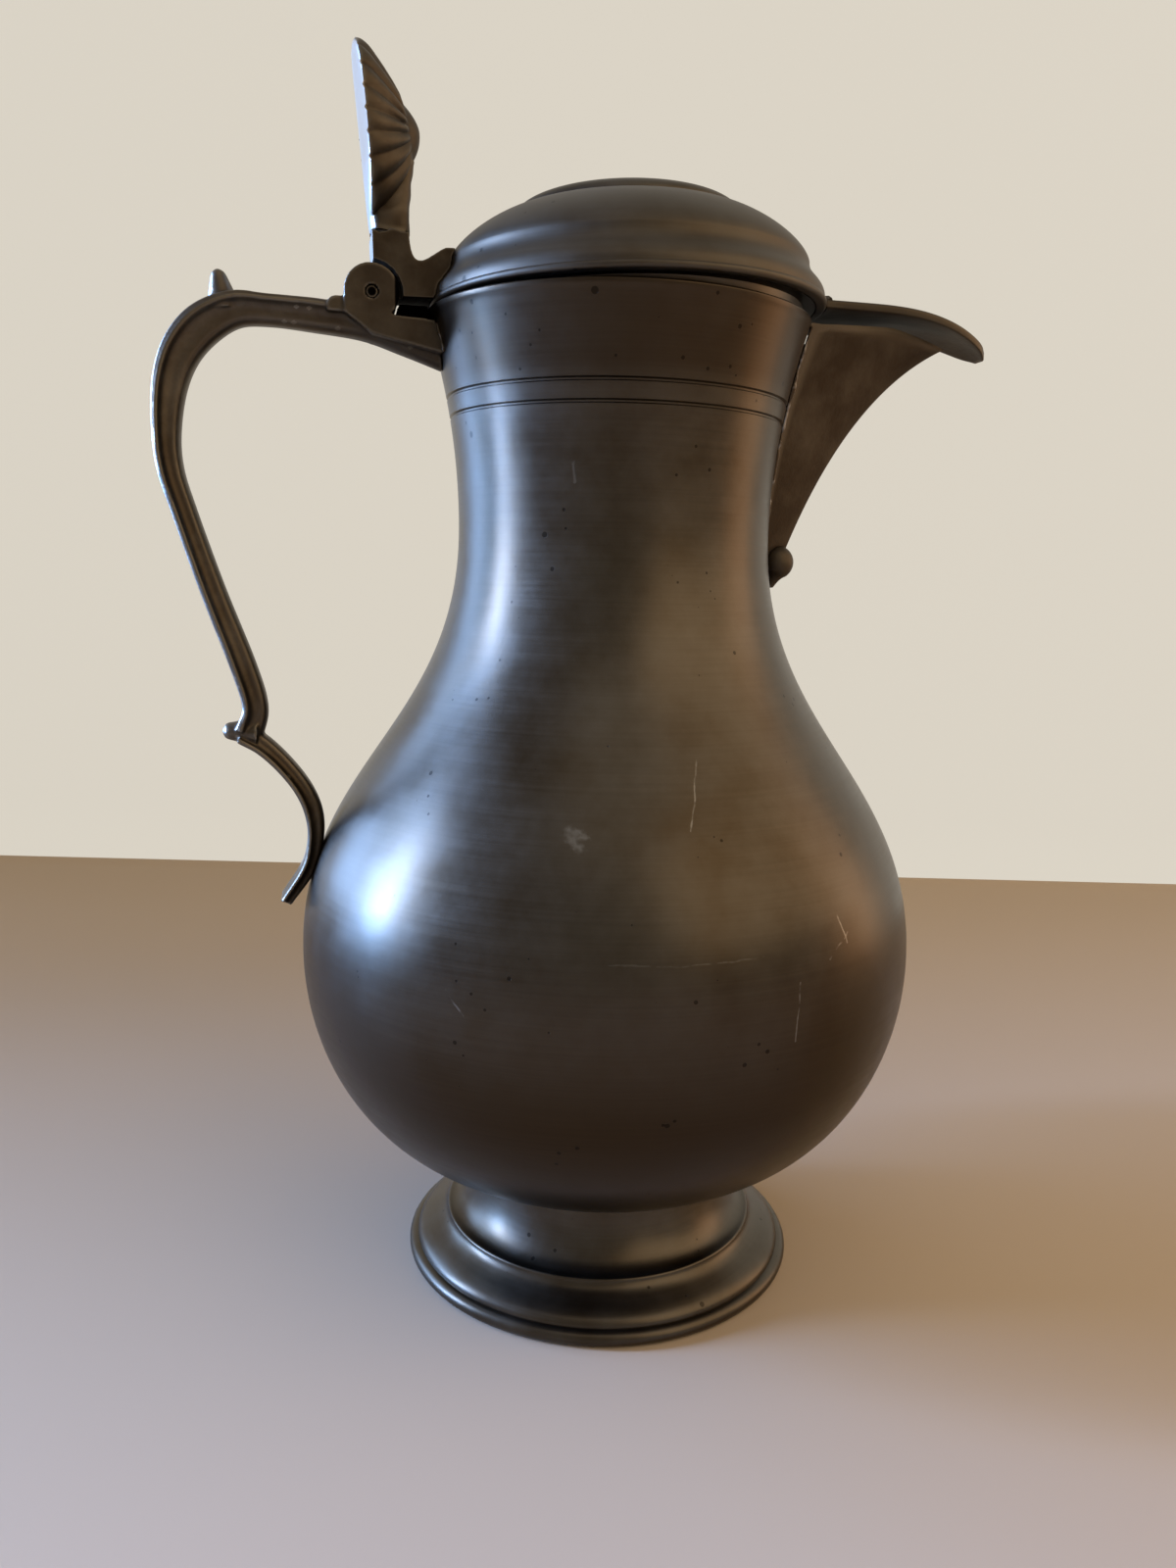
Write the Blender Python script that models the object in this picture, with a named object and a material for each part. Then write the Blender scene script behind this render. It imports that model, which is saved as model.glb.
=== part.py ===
"""Pewter wine flagon with a hinged lid.

A pear-shaped body on a turned foot, with a beak spout, an S-scroll handle and a
domed lid that lifts at a pin through the handle's ears when the shell thumbpiece
is pressed back.

Metres, +Z up. The origin is the centre of the foot's underside, on the table.
+X points along the spout and -X along the handle; the flagon is the same on
both sides of the plane Y = 0.
"""
import math

import bmesh
import bpy
from mathutils import Matrix, Vector

# Clearances
SEAT_GAP = 0.0003
PIN_CLEARANCE = 0.00005
CUT_OVERRUN = 0.004

# Round pieces
TURNED_SIDES = 48
SMALL_SIDES = 24
SPUR_SIDES = 10
SHARP_ANGLE = math.radians(38)

# Foot
FOOT_RADIUS = 0.047
FOOT_BEAD_HEIGHT = 0.0037
FOOT_CREASE_RADIUS = 0.0449
FOOT_STEP_RADIUS = 0.0376
FOOT_STEP_HEIGHT = 0.0108
FOOT_STEP_LIP = 0.0006
FOOT_WALL = 0.0024
FOOT_LEDGE_HEIGHT = 0.0070
FOOT_STAND_WIDTH = 0.0045
WAIST_RADIUS = 0.0296
WAIST_HEIGHT = 0.0275
OGEE_FOOT_PULL_SHARE = 0.75
OGEE_STEP_PULL_SHARE = 0.65

# Body
BOWL_DEPTH = 0.0515
NECK_RISE = 0.0954
RIM_RISE = 0.0455
BELLY_RADIUS = 0.0711
NECK_RADIUS = 0.0352
RIM_RADIUS = 0.0425
BELLY_HEIGHT = WAIST_HEIGHT + BOWL_DEPTH
NECK_HEIGHT = BELLY_HEIGHT + NECK_RISE
RIM_HEIGHT = NECK_HEIGHT + RIM_RISE
SHOULDER_PULL_SHARE = 0.436
NECK_PULL_SHARE = 0.464
NECK_STATION_SHARES = (0.25, 0.42, 0.80, 1.0)
BODY_WALL = 0.0020
BOTTOM_WALL = 0.0026
GROOVE_DROPS = (0.0217, 0.0176)
GROOVE_HALF_WIDTH = 0.00045
GROOVE_DEPTH = 0.00045

# Spout
SPOUT_FOOT_DROP = 0.0499
SPOUT_BEND_DROP = 0.0119
SPOUT_TIP_DROP = 0.0007
SPOUT_FOOT_PROUD = 0.0064
SPOUT_BEND_PROUD = 0.0137
SPOUT_TIP_PROUD = 0.0375
SPOUT_FOOT_HEIGHT = RIM_HEIGHT - SPOUT_FOOT_DROP
SPOUT_FOOT_REACH = NECK_RADIUS + SPOUT_FOOT_PROUD
SPOUT_BEND_HEIGHT = RIM_HEIGHT - SPOUT_BEND_DROP
SPOUT_BEND_REACH = RIM_RADIUS + SPOUT_BEND_PROUD
SPOUT_TIP_HEIGHT = RIM_HEIGHT - SPOUT_TIP_DROP
SPOUT_TIP_REACH = RIM_RADIUS + SPOUT_TIP_PROUD
SPOUT_TOP_HALF_WIDTH = 0.0150
SPOUT_FOOT_HALF_WIDTH = 0.0030
SPOUT_WALL = 0.0017
SPOUT_ARCH_RISE = 0.0024
SPOUT_ARCH_SHARE = 0.55
SPOUT_ARCH_POWER = 1.2
SPOUT_SIDE_BULGE_SHARE = 0.86
MOUTH_FOOT_RISE = 0.0140
MOUTH_FOOT_HEIGHT = SPOUT_FOOT_HEIGHT + MOUTH_FOOT_RISE
MOUTH_TOP_HALF_WIDTH = 0.0115
MOUTH_FOOT_HALF_WIDTH = 0.0028
DROP_RADIUS = 0.0040
DROP_SINK = 0.0012
DROP_SET_BACK = 0.0014
DROP_TIP_SINK = 0.0074
DROP_TIP_SET_BACK = 0.0031
DROP_HEIGHT = SPOUT_FOOT_HEIGHT - DROP_SINK
DROP_REACH = SPOUT_FOOT_REACH - DROP_SET_BACK
DROP_TIP_HEIGHT = SPOUT_FOOT_HEIGHT - DROP_TIP_SINK
DROP_TIP_REACH = SPOUT_FOOT_REACH - DROP_TIP_SET_BACK

# Hinge
PIN_OVERHANG = 0.0118
PIN_REACH = RIM_RADIUS + PIN_OVERHANG
PIN_RISE = 0.0018
PIN_HEIGHT = RIM_HEIGHT + PIN_RISE
PIN_RADIUS = 0.00125
PIN_SINK = 0.0006
EAR_RADIUS = 0.0061
EAR_THICKNESS = 0.0032
HINGE_HALF_WIDTH = 0.0065
KNUCKLE_RADIUS = 0.0058
EAR_RECESS_GAP = 0.0007

# Handle: centre line and thickness at the same places, as shares of its reach and height
HANDLE_REACH = 0.0991
HANDLE_TOP_DROP = 0.0043
HANDLE_TOP_HEIGHT = PIN_HEIGHT - HANDLE_TOP_DROP
HANDLE_KNEE_DROP = 0.0884
HANDLE_KNEE_HEIGHT = HANDLE_TOP_HEIGHT - HANDLE_KNEE_DROP
HANDLE_TAIL_DROP = 0.0385
HANDLE_TAIL_HEIGHT = HANDLE_KNEE_HEIGHT - HANDLE_TAIL_DROP
STRAP_THICKNESS = 0.0050
STRAP_HALF_WIDTH = 0.0052
TAIL_HALF_WIDTH = 0.0044
STRAP_REACH_SHARES = (
    0.385, 0.47, 0.56, 0.665, 0.76, 0.83, 0.893, 0.938, 0.963, 0.972, 0.967, 0.943, 0.890, 0.831, 0.808, 0.822,
)
STRAP_HEIGHT_SHARES = (
    0.93, 0.952, 0.976, 0.995, 1.0, 0.996, 0.957, 0.895, 0.815, 0.715, 0.63, 0.535, 0.35, 0.165, 0.065, 0.0,
)
STRAP_THICKNESS_SHARES = (
    2.30, 1.95, 1.60, 1.20, 1.14, 1.34, 1.56, 1.50, 1.32, 1.10, 1.02, 0.98, 1.02, 1.08, 1.08, 1.20,
)
STRAP_WIDTH_SHARES = (
    0.96, 1.10, 1.20, 1.08, 1.0, 1.0, 1.0, 1.0, 1.0, 1.0, 1.0, 0.98, 0.96, 0.94, 0.93, 0.92,
)
TAIL_REACH_SHARES = (0.838, 0.792, 0.744, 0.706, 0.686, 0.684, 0.700, 0.752)
TAIL_HEIGHT_SHARES = (1.0, 0.925, 0.80, 0.66, 0.52, 0.37, 0.20, 0.0)
TAIL_THICKNESS_SHARES = (0.90, 0.84, 0.80, 0.80, 0.80, 0.72, 0.66, 0.56)
SECTION_DEPTH_SHARES = (0.0, 0.0, 0.08, 0.24, 0.34, 0.62, 0.86, 1.0)
SECTION_WIDTH_SHARES = (0.0, 0.88, 1.0, 1.0, 0.80, 0.66, 0.58, 0.34)
TOP_SPUR_REACH_SHARE = 0.85
TOP_SPUR_LEAN = 0.0008
TOP_SPUR_HEIGHT = 0.0060
TOP_SPUR_BASE = 0.0031
TOP_SPUR_TIP = 0.0010
TOP_SPUR_SINK = 0.0028
KNEE_SPUR_LENGTH = 0.0052
KNEE_SPUR_BASE = 0.0028
KNEE_SPUR_TIP = 0.0012
KNEE_SPUR_RISE_SHARE = 0.2
KNEE_SPUR_WIDTH_SHARE = 1.4
TOP_SPUR_WIDTH_SHARE = 1.2
SPUR_STATION_SHARES = (0.0, 0.35, 0.70, 0.93)
SPUR_END_SHARE = 0.6
MOULDING_STEP_BACK = 0.0074
MOULDING_REACH = PIN_REACH + MOULDING_STEP_BACK
MOULDING_RADIUS = 0.0017
MOULDING_STEP = 0.0014

# Lid
LID_OVERHANG = 0.0012
LID_RADIUS = RIM_RADIUS + LID_OVERHANG
LID_OFFSET = 0.0020
LID_SEAT = 0.0006
LID_REST_TILT = math.radians(1.0)
LID_BRIM_HEIGHT = 0.0016
LID_BAND_HEIGHT = 0.0075
LID_BAND_RADIUS = 0.0402
LID_SHOULDER_HEIGHT = 0.0200
LID_DISC_RADIUS = 0.0256
LID_DISC_HEIGHT = 0.0032
LID_DISC_STEP = 0.0005
LID_CROWN = 0.0014
LID_WALL = 0.0018
LID_LIP_WIDTH = 0.0022
LID_BAND_PULL_SHARE = 0.35
LID_DOME_LEAN_SHARE = 0.12
LID_DOME_PULL_SHARE = 0.62
LID_SHOULDER_PULL_SHARE = 0.42
LID_SHOULDER_DROP_SHARE = 0.06
LID_DISC_FLAT_SHARE = 0.68
LID_CROWN_REACH_SHARE = 0.35
LID_CROWN_DROP_SHARE = 0.25
BEZEL_STEP = 0.0050
BEZEL_RADIUS = RIM_RADIUS - BEZEL_STEP
BEZEL_TAPER = 0.0012
BEZEL_DEPTH = 0.0050
BEZEL_WALL = 0.0015

# Leaf over the spout
FLAP_HALF_WIDTH = 0.0160
FLAP_OVERHANG = 0.0093
FLAP_REACH = SPOUT_TIP_REACH + FLAP_OVERHANG
FLAP_THICKNESS = 0.0024
FLAP_RISE = 0.0008
FLAP_DROOP = 0.0080
FLAP_CAMBER = 0.0010
FLAP_DROOP_START_SHARE = 0.20
FLAP_DROOP_POWER = 3.0
FLAP_SIDE_SHARES = (0.40, 0.75, 1.0)
FLAP_WIDTH_SHARES = (1.0, 0.92, 0.83, 0.73, 0.62, 0.50, 0.34, 0.14)
FLAP_STATION_SHARES = (0.0, 0.16, 0.33, 0.50, 0.67, 0.82, 0.94, 1.0)

# Lever and thumbpiece, from the hinge pin
STEM_BACK = 0.0002
STEM_FRONT = 0.0082
STEM_HALF_WIDTH = 0.0046
CRACK_HEIGHT = 0.0122
LEVER_THROAT_REACH = 0.0098
LEVER_THROAT_HEIGHT = 0.0066
LEVER_NUB_REACH = 0.0158
LEVER_NUB_HEIGHT = 0.0103
LEVER_FOOT_HEIGHT = 0.0004
LEVER_HALF_WIDTH = 0.0060
SHELL_BOSS_HEIGHT = 0.0325
SHELL_TOP = 0.0170
SHELL_BOTTOM = 0.0165
SHELL_HALF_WIDTH = 0.0125
SHELL_LEAN = 0.0014
SHELL_DEPTH = 0.0091
SHELL_BACK_CAMBER = 0.0012
SHELL_EDGE = 0.0010
SHELL_BOSS_RADIUS = 0.0042
SHELL_BOSS_RISE = 0.0016
SHELL_RIBS = 19
RIB_FACETS = 4
SHELL_RIB_DEPTH = 0.0005
SHELL_RIB_START_SHARE = 0.5
SHELL_TOP_POWER = 2.3
SHELL_BOTTOM_POWER = 1.7
SHELL_FRONT_SHARES = (0.14, 0.24, 0.36, 0.52, 0.68, 0.84, 0.95, 1.0)
SHELL_BACK_SHARES = (1.0, 0.68, 0.36)
STEM_STATION_SHARES = (0.0, 0.3, 0.7, 1.0)
STEM_WIDTH_SHARES = (1.0, 1.0, 0.9, 0.6)
STEM_BACK_SHARES = (0.0, 0.45, 0.9, 1.0)
STEM_CHAMFER_SHARE = 0.33

# Finish
PEWTER_TURNED_COLOUR = (0.165, 0.155, 0.140, 1.0)
PEWTER_CAST_COLOUR = (0.120, 0.105, 0.090, 1.0)
PEWTER_ROUGHNESS = 0.38
CAST_ROUGHNESS = 0.50


def clear_scene():
    """Empty the scene, so the flagon is all that it holds."""
    for obj in list(bpy.data.objects):
        bpy.data.objects.remove(obj, do_unlink=True)


def pewter(name, colour, roughness):
    """Bare metal of one colour and roughness."""
    material = bpy.data.materials.new(name)
    material.use_nodes = True
    shader = material.node_tree.nodes["Principled BSDF"]
    shader.inputs["Base Color"].default_value = colour
    shader.inputs["Metallic"].default_value = 1.0
    shader.inputs["Roughness"].default_value = roughness
    return material


def link_mesh(name, bm, material=None):
    """Turn a bmesh into a named object whose faces point outwards."""
    bmesh.ops.remove_doubles(bm, verts=bm.verts, dist=SEAT_GAP / 100)
    bmesh.ops.recalc_face_normals(bm, faces=bm.faces)
    mesh = bpy.data.meshes.new(name)
    bm.to_mesh(mesh)
    bm.free()
    mesh.shade_smooth()
    mesh.set_sharp_from_angle(angle=SHARP_ANGLE)
    obj = bpy.data.objects.new(name, mesh)
    bpy.context.scene.collection.objects.link(obj)
    if material is None:
        obj.hide_render = True
        obj.display_type = "WIRE"
    else:
        mesh.materials.append(material)
    return obj


def boolean(obj, tool, operation):
    """Cut a tool out of a piece, or join it on."""
    modifier = obj.modifiers.new(operation.title(), "BOOLEAN")
    modifier.object = tool
    modifier.operation = operation
    modifier.solver = "EXACT"


def turned(name, outline, material=None, sides=TURNED_SIDES):
    """Turn a closed outline of (radius, height) points round the Z axis."""
    bm = bmesh.new()
    ring = [bm.verts.new((radius, 0.0, height)) for radius, height in outline]
    pairs = zip(ring, ring[1:] + ring[:1])
    edges = [bm.edges.new((a, b)) for a, b in pairs if a.co.x > 0.0 or b.co.x > 0.0]
    bmesh.ops.spin(
        bm, geom=ring + edges, cent=(0.0, 0.0, 0.0), axis=(0.0, 0.0, 1.0),
        angle=math.tau, steps=sides, use_merge=True,
    )
    return link_mesh(name, bm, material)


def lofted(name, sections, material=None):
    """Skin closed sections of equal point count and cap both ends."""
    bm = bmesh.new()
    rings = [[bm.verts.new(point) for point in section] for section in sections]
    for lower, upper in zip(rings, rings[1:]):
        for i, vert in enumerate(lower):
            j = (i + 1) % len(lower)
            bm.faces.new((vert, lower[j], upper[j], upper[i]))
    bm.faces.new(rings[0])
    bm.faces.new(rings[-1])
    bm.normal_update()
    bmesh.ops.triangulate(bm, faces=[face for face in bm.faces if len(face.verts) > 4])
    return link_mesh(name, bm, material)


def plate(name, outline, half_width, material=None):
    """A flat piece with an (x, z) outline, the same on both sides of Y = 0."""
    sides = [[(x, y, z) for x, z in outline] for y in (-half_width, half_width)]
    return lofted(name, sides, material)


def bar(name, steps, material=None):
    """A stepped round bar on the hinge pin's axis, from (radius, y) pairs."""
    angles = [math.tau * i / SMALL_SIDES for i in range(SMALL_SIDES)]
    sections = [[(radius * math.cos(a), y, radius * math.sin(a)) for a in angles] for radius, y in steps]
    rod = lofted(name, sections, material)
    rod.location = (-PIN_REACH, 0.0, PIN_HEIGHT)
    return rod


def arc(centre, radii, start, end, steps):
    """Points of an ellipse's arc from one angle to another, in degrees."""
    points = []
    for i in range(steps + 1):
        angle = math.radians(start + (end - start) * i / steps)
        points.append((centre[0] + radii[0] * math.cos(angle), centre[1] + radii[1] * math.sin(angle)))
    return points


def bezier(controls, steps):
    """Points along a Bezier curve of any degree."""
    degree = len(controls) - 1
    points = []
    for i in range(steps + 1):
        t = i / steps
        weights = [math.comb(degree, k) * t**k * (1 - t) ** (degree - k) for k in range(degree + 1)]
        points.append(tuple(sum(w * c[axis] for w, c in zip(weights, controls)) for axis in (0, 1)))
    return points


def inset(points, distance):
    """Shift an open outline sideways, to the left of its own direction."""
    shifted = []
    for i, (x, y) in enumerate(points):
        before = points[max(i - 1, 0)]
        after = points[min(i + 1, len(points) - 1)]
        along = Vector((after[0] - before[0], after[1] - before[1])).normalized()
        shifted.append((x - along.y * distance, y + along.x * distance))
    return shifted


def smooth_through(values, steps):
    """Values between hand-set ones on a curve that passes through each of them."""
    padded = [2 * values[0] - values[1], *values, 2 * values[-1] - values[-2]]
    result = []
    for i in range(1, len(padded) - 2):
        a, b, c, d = padded[i - 1:i + 3]
        for k in range(steps):
            t = k / steps
            slope = (c - a) + t * (2 * a - 5 * b + 4 * c - d + t * (3 * b - a - 3 * c + d))
            result.append(b + t * slope / 2)
    result.append(values[-1])
    return result


def lower_bowl_outline():
    """Outside of the bulb's lower half, from the waist up to the belly: a quarter ellipse."""
    centre = (WAIST_RADIUS, BELLY_HEIGHT)
    return arc(centre, (BELLY_RADIUS - WAIST_RADIUS, BELLY_HEIGHT - WAIST_HEIGHT), -90, 0, 9)


def shoulder_outline():
    """Outside of the body from the belly up to the narrowest part of the neck."""
    return bezier(
        [
            (BELLY_RADIUS, BELLY_HEIGHT),
            (BELLY_RADIUS, BELLY_HEIGHT + NECK_RISE * SHOULDER_PULL_SHARE),
            (NECK_RADIUS, NECK_HEIGHT - NECK_RISE * NECK_PULL_SHARE),
            (NECK_RADIUS, NECK_HEIGHT),
        ],
        11,
    )


def neck_radius_at(height):
    """Radius of the flared neck above its narrowest part."""
    share = (height - NECK_HEIGHT) / (RIM_HEIGHT - NECK_HEIGHT)
    return NECK_RADIUS + (RIM_RADIUS - NECK_RADIUS) * share * share


def neck_outline(with_grooves):
    """Outside of the neck from its narrowest part up to the rim."""
    heights = [NECK_HEIGHT + (RIM_HEIGHT - NECK_HEIGHT) * share for share in NECK_STATION_SHARES]
    points = [(neck_radius_at(height), height) for height in heights]
    if with_grooves:
        for drop in GROOVE_DROPS:
            for offset, depth in ((-1, 0.0), (0, GROOVE_DEPTH), (1, 0.0)):
                height = RIM_HEIGHT - drop + offset * GROOVE_HALF_WIDTH
                points.append((neck_radius_at(height) - depth, height))
    return sorted(points, key=lambda point: point[1])


def body_envelope(name, clearance):
    """The body as a solid without its hollow, grown by a clearance, to trim what is soldered on."""
    outside = lower_bowl_outline() + shoulder_outline()[1:] + neck_outline(with_grooves=False)
    grown = [(radius + clearance, height) for radius, height in outside]
    top = grown[-1][1] + CUT_OVERRUN
    grown.append((grown[-1][0], top))
    return turned(name, [(0.0, grown[0][1])] + grown + [(0.0, top)])


def make_foot(material):
    """Foot ring: rim bead, ogee, fine step and cavetto, hollow underneath."""
    bead = arc(
        (FOOT_CREASE_RADIUS, FOOT_BEAD_HEIGHT / 2),
        (FOOT_RADIUS - FOOT_CREASE_RADIUS, FOOT_BEAD_HEIGHT / 2), -90, 90, 6,
    )
    lip_foot = FOOT_STEP_HEIGHT - FOOT_STEP_LIP
    ogee_rise = lip_foot - FOOT_BEAD_HEIGHT
    ogee = bezier(
        [
            (FOOT_CREASE_RADIUS, FOOT_BEAD_HEIGHT),
            (FOOT_CREASE_RADIUS, FOOT_BEAD_HEIGHT + OGEE_FOOT_PULL_SHARE * ogee_rise),
            (FOOT_STEP_RADIUS, lip_foot - OGEE_STEP_PULL_SHARE * ogee_rise),
            (FOOT_STEP_RADIUS, lip_foot),
        ],
        6,
    )
    lip_radius = FOOT_STEP_RADIUS - FOOT_STEP_LIP
    top = WAIST_HEIGHT - SEAT_GAP
    cavetto = arc((lip_radius, top), (lip_radius - WAIST_RADIUS, top - FOOT_STEP_HEIGHT), 270, 180, 6)
    throat = WAIST_RADIUS - FOOT_WALL
    stand_inner = FOOT_CREASE_RADIUS - FOOT_STAND_WIDTH
    inside_radius = lip_radius - FOOT_WALL
    inside = arc((inside_radius, top), (inside_radius - throat, top - FOOT_LEDGE_HEIGHT), 180, 270, 4)
    outline = bead + ogee[1:] + [(FOOT_STEP_RADIUS, FOOT_STEP_HEIGHT)] + cavetto + inside
    outline += [(stand_inner, FOOT_BEAD_HEIGHT), (stand_inner, 0.0)]
    return turned("foot", outline, material)


def make_lower_body(material):
    """Lower half of the bulb, closed by the bottom of the jug."""
    outside = lower_bowl_outline()
    seam = BELLY_HEIGHT - SEAT_GAP / 2
    outside[-1] = (BELLY_RADIUS, seam)
    floor = WAIST_HEIGHT + BOTTOM_WALL
    inside = arc(
        (WAIST_RADIUS - BODY_WALL, BELLY_HEIGHT),
        (BELLY_RADIUS - WAIST_RADIUS, BELLY_HEIGHT - floor), 0, -90, 8,
    )
    inside[0] = (BELLY_RADIUS - BODY_WALL, seam)
    return turned("lower_body", [(0.0, WAIST_HEIGHT)] + outside + inside + [(0.0, floor)], material)


def make_upper_body(material):
    """Shoulder, neck and rim, open behind the spout."""
    outside = shoulder_outline()
    seam = BELLY_HEIGHT + SEAT_GAP / 2
    plain = outside + neck_outline(with_grooves=False)
    inside = inset(plain, BODY_WALL)[::-2]
    inside = [(radius, height) for radius, height in inside if seam < height < RIM_HEIGHT]
    inside = [(RIM_RADIUS - BODY_WALL, RIM_HEIGHT)] + inside + [(BELLY_RADIUS - BODY_WALL, seam)]
    outside[0] = (BELLY_RADIUS, seam)
    body = turned("upper_body", outside + neck_outline(with_grooves=True) + inside, material)
    mouth = [
        [
            (x, -MOUTH_FOOT_HALF_WIDTH, MOUTH_FOOT_HEIGHT),
            (x, MOUTH_FOOT_HALF_WIDTH, MOUTH_FOOT_HEIGHT),
            (x, MOUTH_TOP_HALF_WIDTH, RIM_HEIGHT + CUT_OVERRUN),
            (x, -MOUTH_TOP_HALF_WIDTH, RIM_HEIGHT + CUT_OVERRUN),
        ]
        for x in (NECK_RADIUS / 2, RIM_RADIUS + CUT_OVERRUN)
    ]
    boolean(body, lofted("mouth_cutter", mouth), "DIFFERENCE")
    return body


def spout_shell(name, wall, material=None):
    """The beak as a solid, shrunk by a wall: sections from its foot up past its arched top."""
    keel = bezier(
        [
            (SPOUT_FOOT_REACH, SPOUT_FOOT_HEIGHT),
            (SPOUT_BEND_REACH, SPOUT_BEND_HEIGHT),
            (SPOUT_TIP_REACH, SPOUT_TIP_HEIGHT),
        ],
        9,
    )
    above = SPOUT_TIP_HEIGHT + SPOUT_ARCH_RISE + CUT_OVERRUN
    keel.append((SPOUT_TIP_REACH, above))
    root = NECK_RADIUS / 2
    sections = []
    for reach, height in keel:
        share = min((height - SPOUT_FOOT_HEIGHT) / (RIM_HEIGHT - SPOUT_FOOT_HEIGHT), 1.0)
        half_width = SPOUT_FOOT_HALF_WIDTH + (SPOUT_TOP_HALF_WIDTH - SPOUT_FOOT_HALF_WIDTH) * share
        half_width -= wall
        near = min(neck_radius_at(max(height, NECK_HEIGHT)), RIM_RADIUS)
        far = max(reach - 2 * wall, near + SEAT_GAP)
        side = []
        for k in range(7):
            along = k / 6
            bulge = (1 - along) ** SPOUT_SIDE_BULGE_SHARE
            side.append((near + (far - near) * along, half_width * bulge))
        section = [(root, half_width, height)] + [(x, y, height) for x, y in side]
        section += [(x, -y, height) for x, y in side[-2::-1]] + [(root, -half_width, height)]
        sections.append(section)
    if wall:
        first = next(i for i, (_, height) in enumerate(keel) if height > MOUTH_FOOT_HEIGHT)
        sections = sections[first:]
    return lofted(name, sections, material)


def spout_top_height(reach):
    """Height of the beak's arched top edge at a distance from the axis."""
    along = (reach - RIM_RADIUS) / (SPOUT_TIP_REACH - RIM_RADIUS)
    peak = SPOUT_ARCH_SHARE
    span = peak if along < peak else 1 - peak
    base = RIM_HEIGHT if along < peak else SPOUT_TIP_HEIGHT
    top = RIM_HEIGHT + SPOUT_ARCH_RISE
    return top - (top - base) * (abs(along - peak) / span) ** SPOUT_ARCH_POWER


def make_spout(material):
    """Beak spout with its drop finial."""
    spout = spout_shell("spout", 0.0, material)
    steps = 10
    start = RIM_RADIUS
    end = SPOUT_TIP_REACH + CUT_OVERRUN
    reaches = [start + (end - start) * i / steps for i in range(steps + 1)]
    arch = [(reach, spout_top_height(reach)) for reach in reaches]
    ceiling = RIM_HEIGHT + SPOUT_ARCH_RISE + 3 * CUT_OVERRUN
    inner = NECK_RADIUS / 2 - CUT_OVERRUN
    arch = [(inner, RIM_HEIGHT)] + arch + [(end, ceiling), (inner, ceiling)]
    boolean(spout, plate("spout_top_cutter", arch, 2 * SPOUT_TOP_HALF_WIDTH), "DIFFERENCE")
    boolean(spout, spout_shell("spout_channel_cutter", SPOUT_WALL), "DIFFERENCE")

    ball = arc((0.0, DROP_HEIGHT - DROP_TIP_HEIGHT), (DROP_RADIUS, DROP_RADIUS), 90, -40, 6)
    drop = turned("spout_drop", ball[1:] + [(DROP_RADIUS / 4, DROP_RADIUS / 4), (0.0, 0.0), (0.0, ball[0][1])],
                  sides=SMALL_SIDES)
    lean = math.atan2(DROP_REACH - DROP_TIP_REACH, DROP_HEIGHT - DROP_TIP_HEIGHT)
    drop.rotation_euler = (0.0, lean, 0.0)
    drop.location = (DROP_TIP_REACH, 0.0, DROP_TIP_HEIGHT)
    boolean(spout, drop, "UNION")
    boolean(spout, body_envelope("spout_seat_cutter", SEAT_GAP), "DIFFERENCE")
    return spout


def strap(name, reach_shares, height_shares, thickness_shares, widths, low, high, material=None):
    """Sweep the fluted strap section along a centre line in the plane Y = 0."""
    steps = 2
    reach = [HANDLE_REACH * share for share in smooth_through(reach_shares, steps)]
    height = [low + (high - low) * share for share in smooth_through(height_shares, steps)]
    thickness = [STRAP_THICKNESS * share for share in smooth_through(thickness_shares, steps)]
    half_width = smooth_through(widths, steps)
    centre = [Vector((-r, 0.0, h)) for r, h in zip(reach, height)]
    half_section = list(zip(SECTION_DEPTH_SHARES, SECTION_WIDTH_SHARES))
    sections = []
    for i, point in enumerate(centre):
        along = (centre[min(i + 1, len(centre) - 1)] - centre[max(i - 1, 0)]).normalized()
        inwards = Vector((-along.z, 0.0, along.x))
        outer = point - inwards * thickness[i] / 2
        across = Vector((0.0, half_width[i], 0.0))
        ring = [outer + inwards * thickness[i] * d + across * w for d, w in half_section]
        ring += [Vector((p.x, -p.y, p.z)) for p in ring[:0:-1]]
        sections.append(ring)
    return lofted(name, sections, material)


def tapered_spur(name, base, direction, length, base_radius, tip_radius, width_share):
    """A small blunt horn that stands on the handle."""
    axis = Vector(direction).normalized()
    across = Vector((0.0, 1.0, 0.0))
    up = axis.cross(across)
    angles = [math.tau * k / SPUR_SIDES for k in range(SPUR_SIDES)]
    taper = tip_radius - base_radius
    stations = [(share, base_radius + taper * math.sqrt(share)) for share in SPUR_STATION_SHARES]
    stations.append((1.0, tip_radius * SPUR_END_SHARE))
    sections = []
    for share, radius in stations:
        middle = Vector(base) + axis * length * share
        wide = across * radius * width_share
        sections.append([middle + up * radius * math.cos(a) + wide * math.sin(a) for a in angles])
    return lofted(name, sections)


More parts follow.
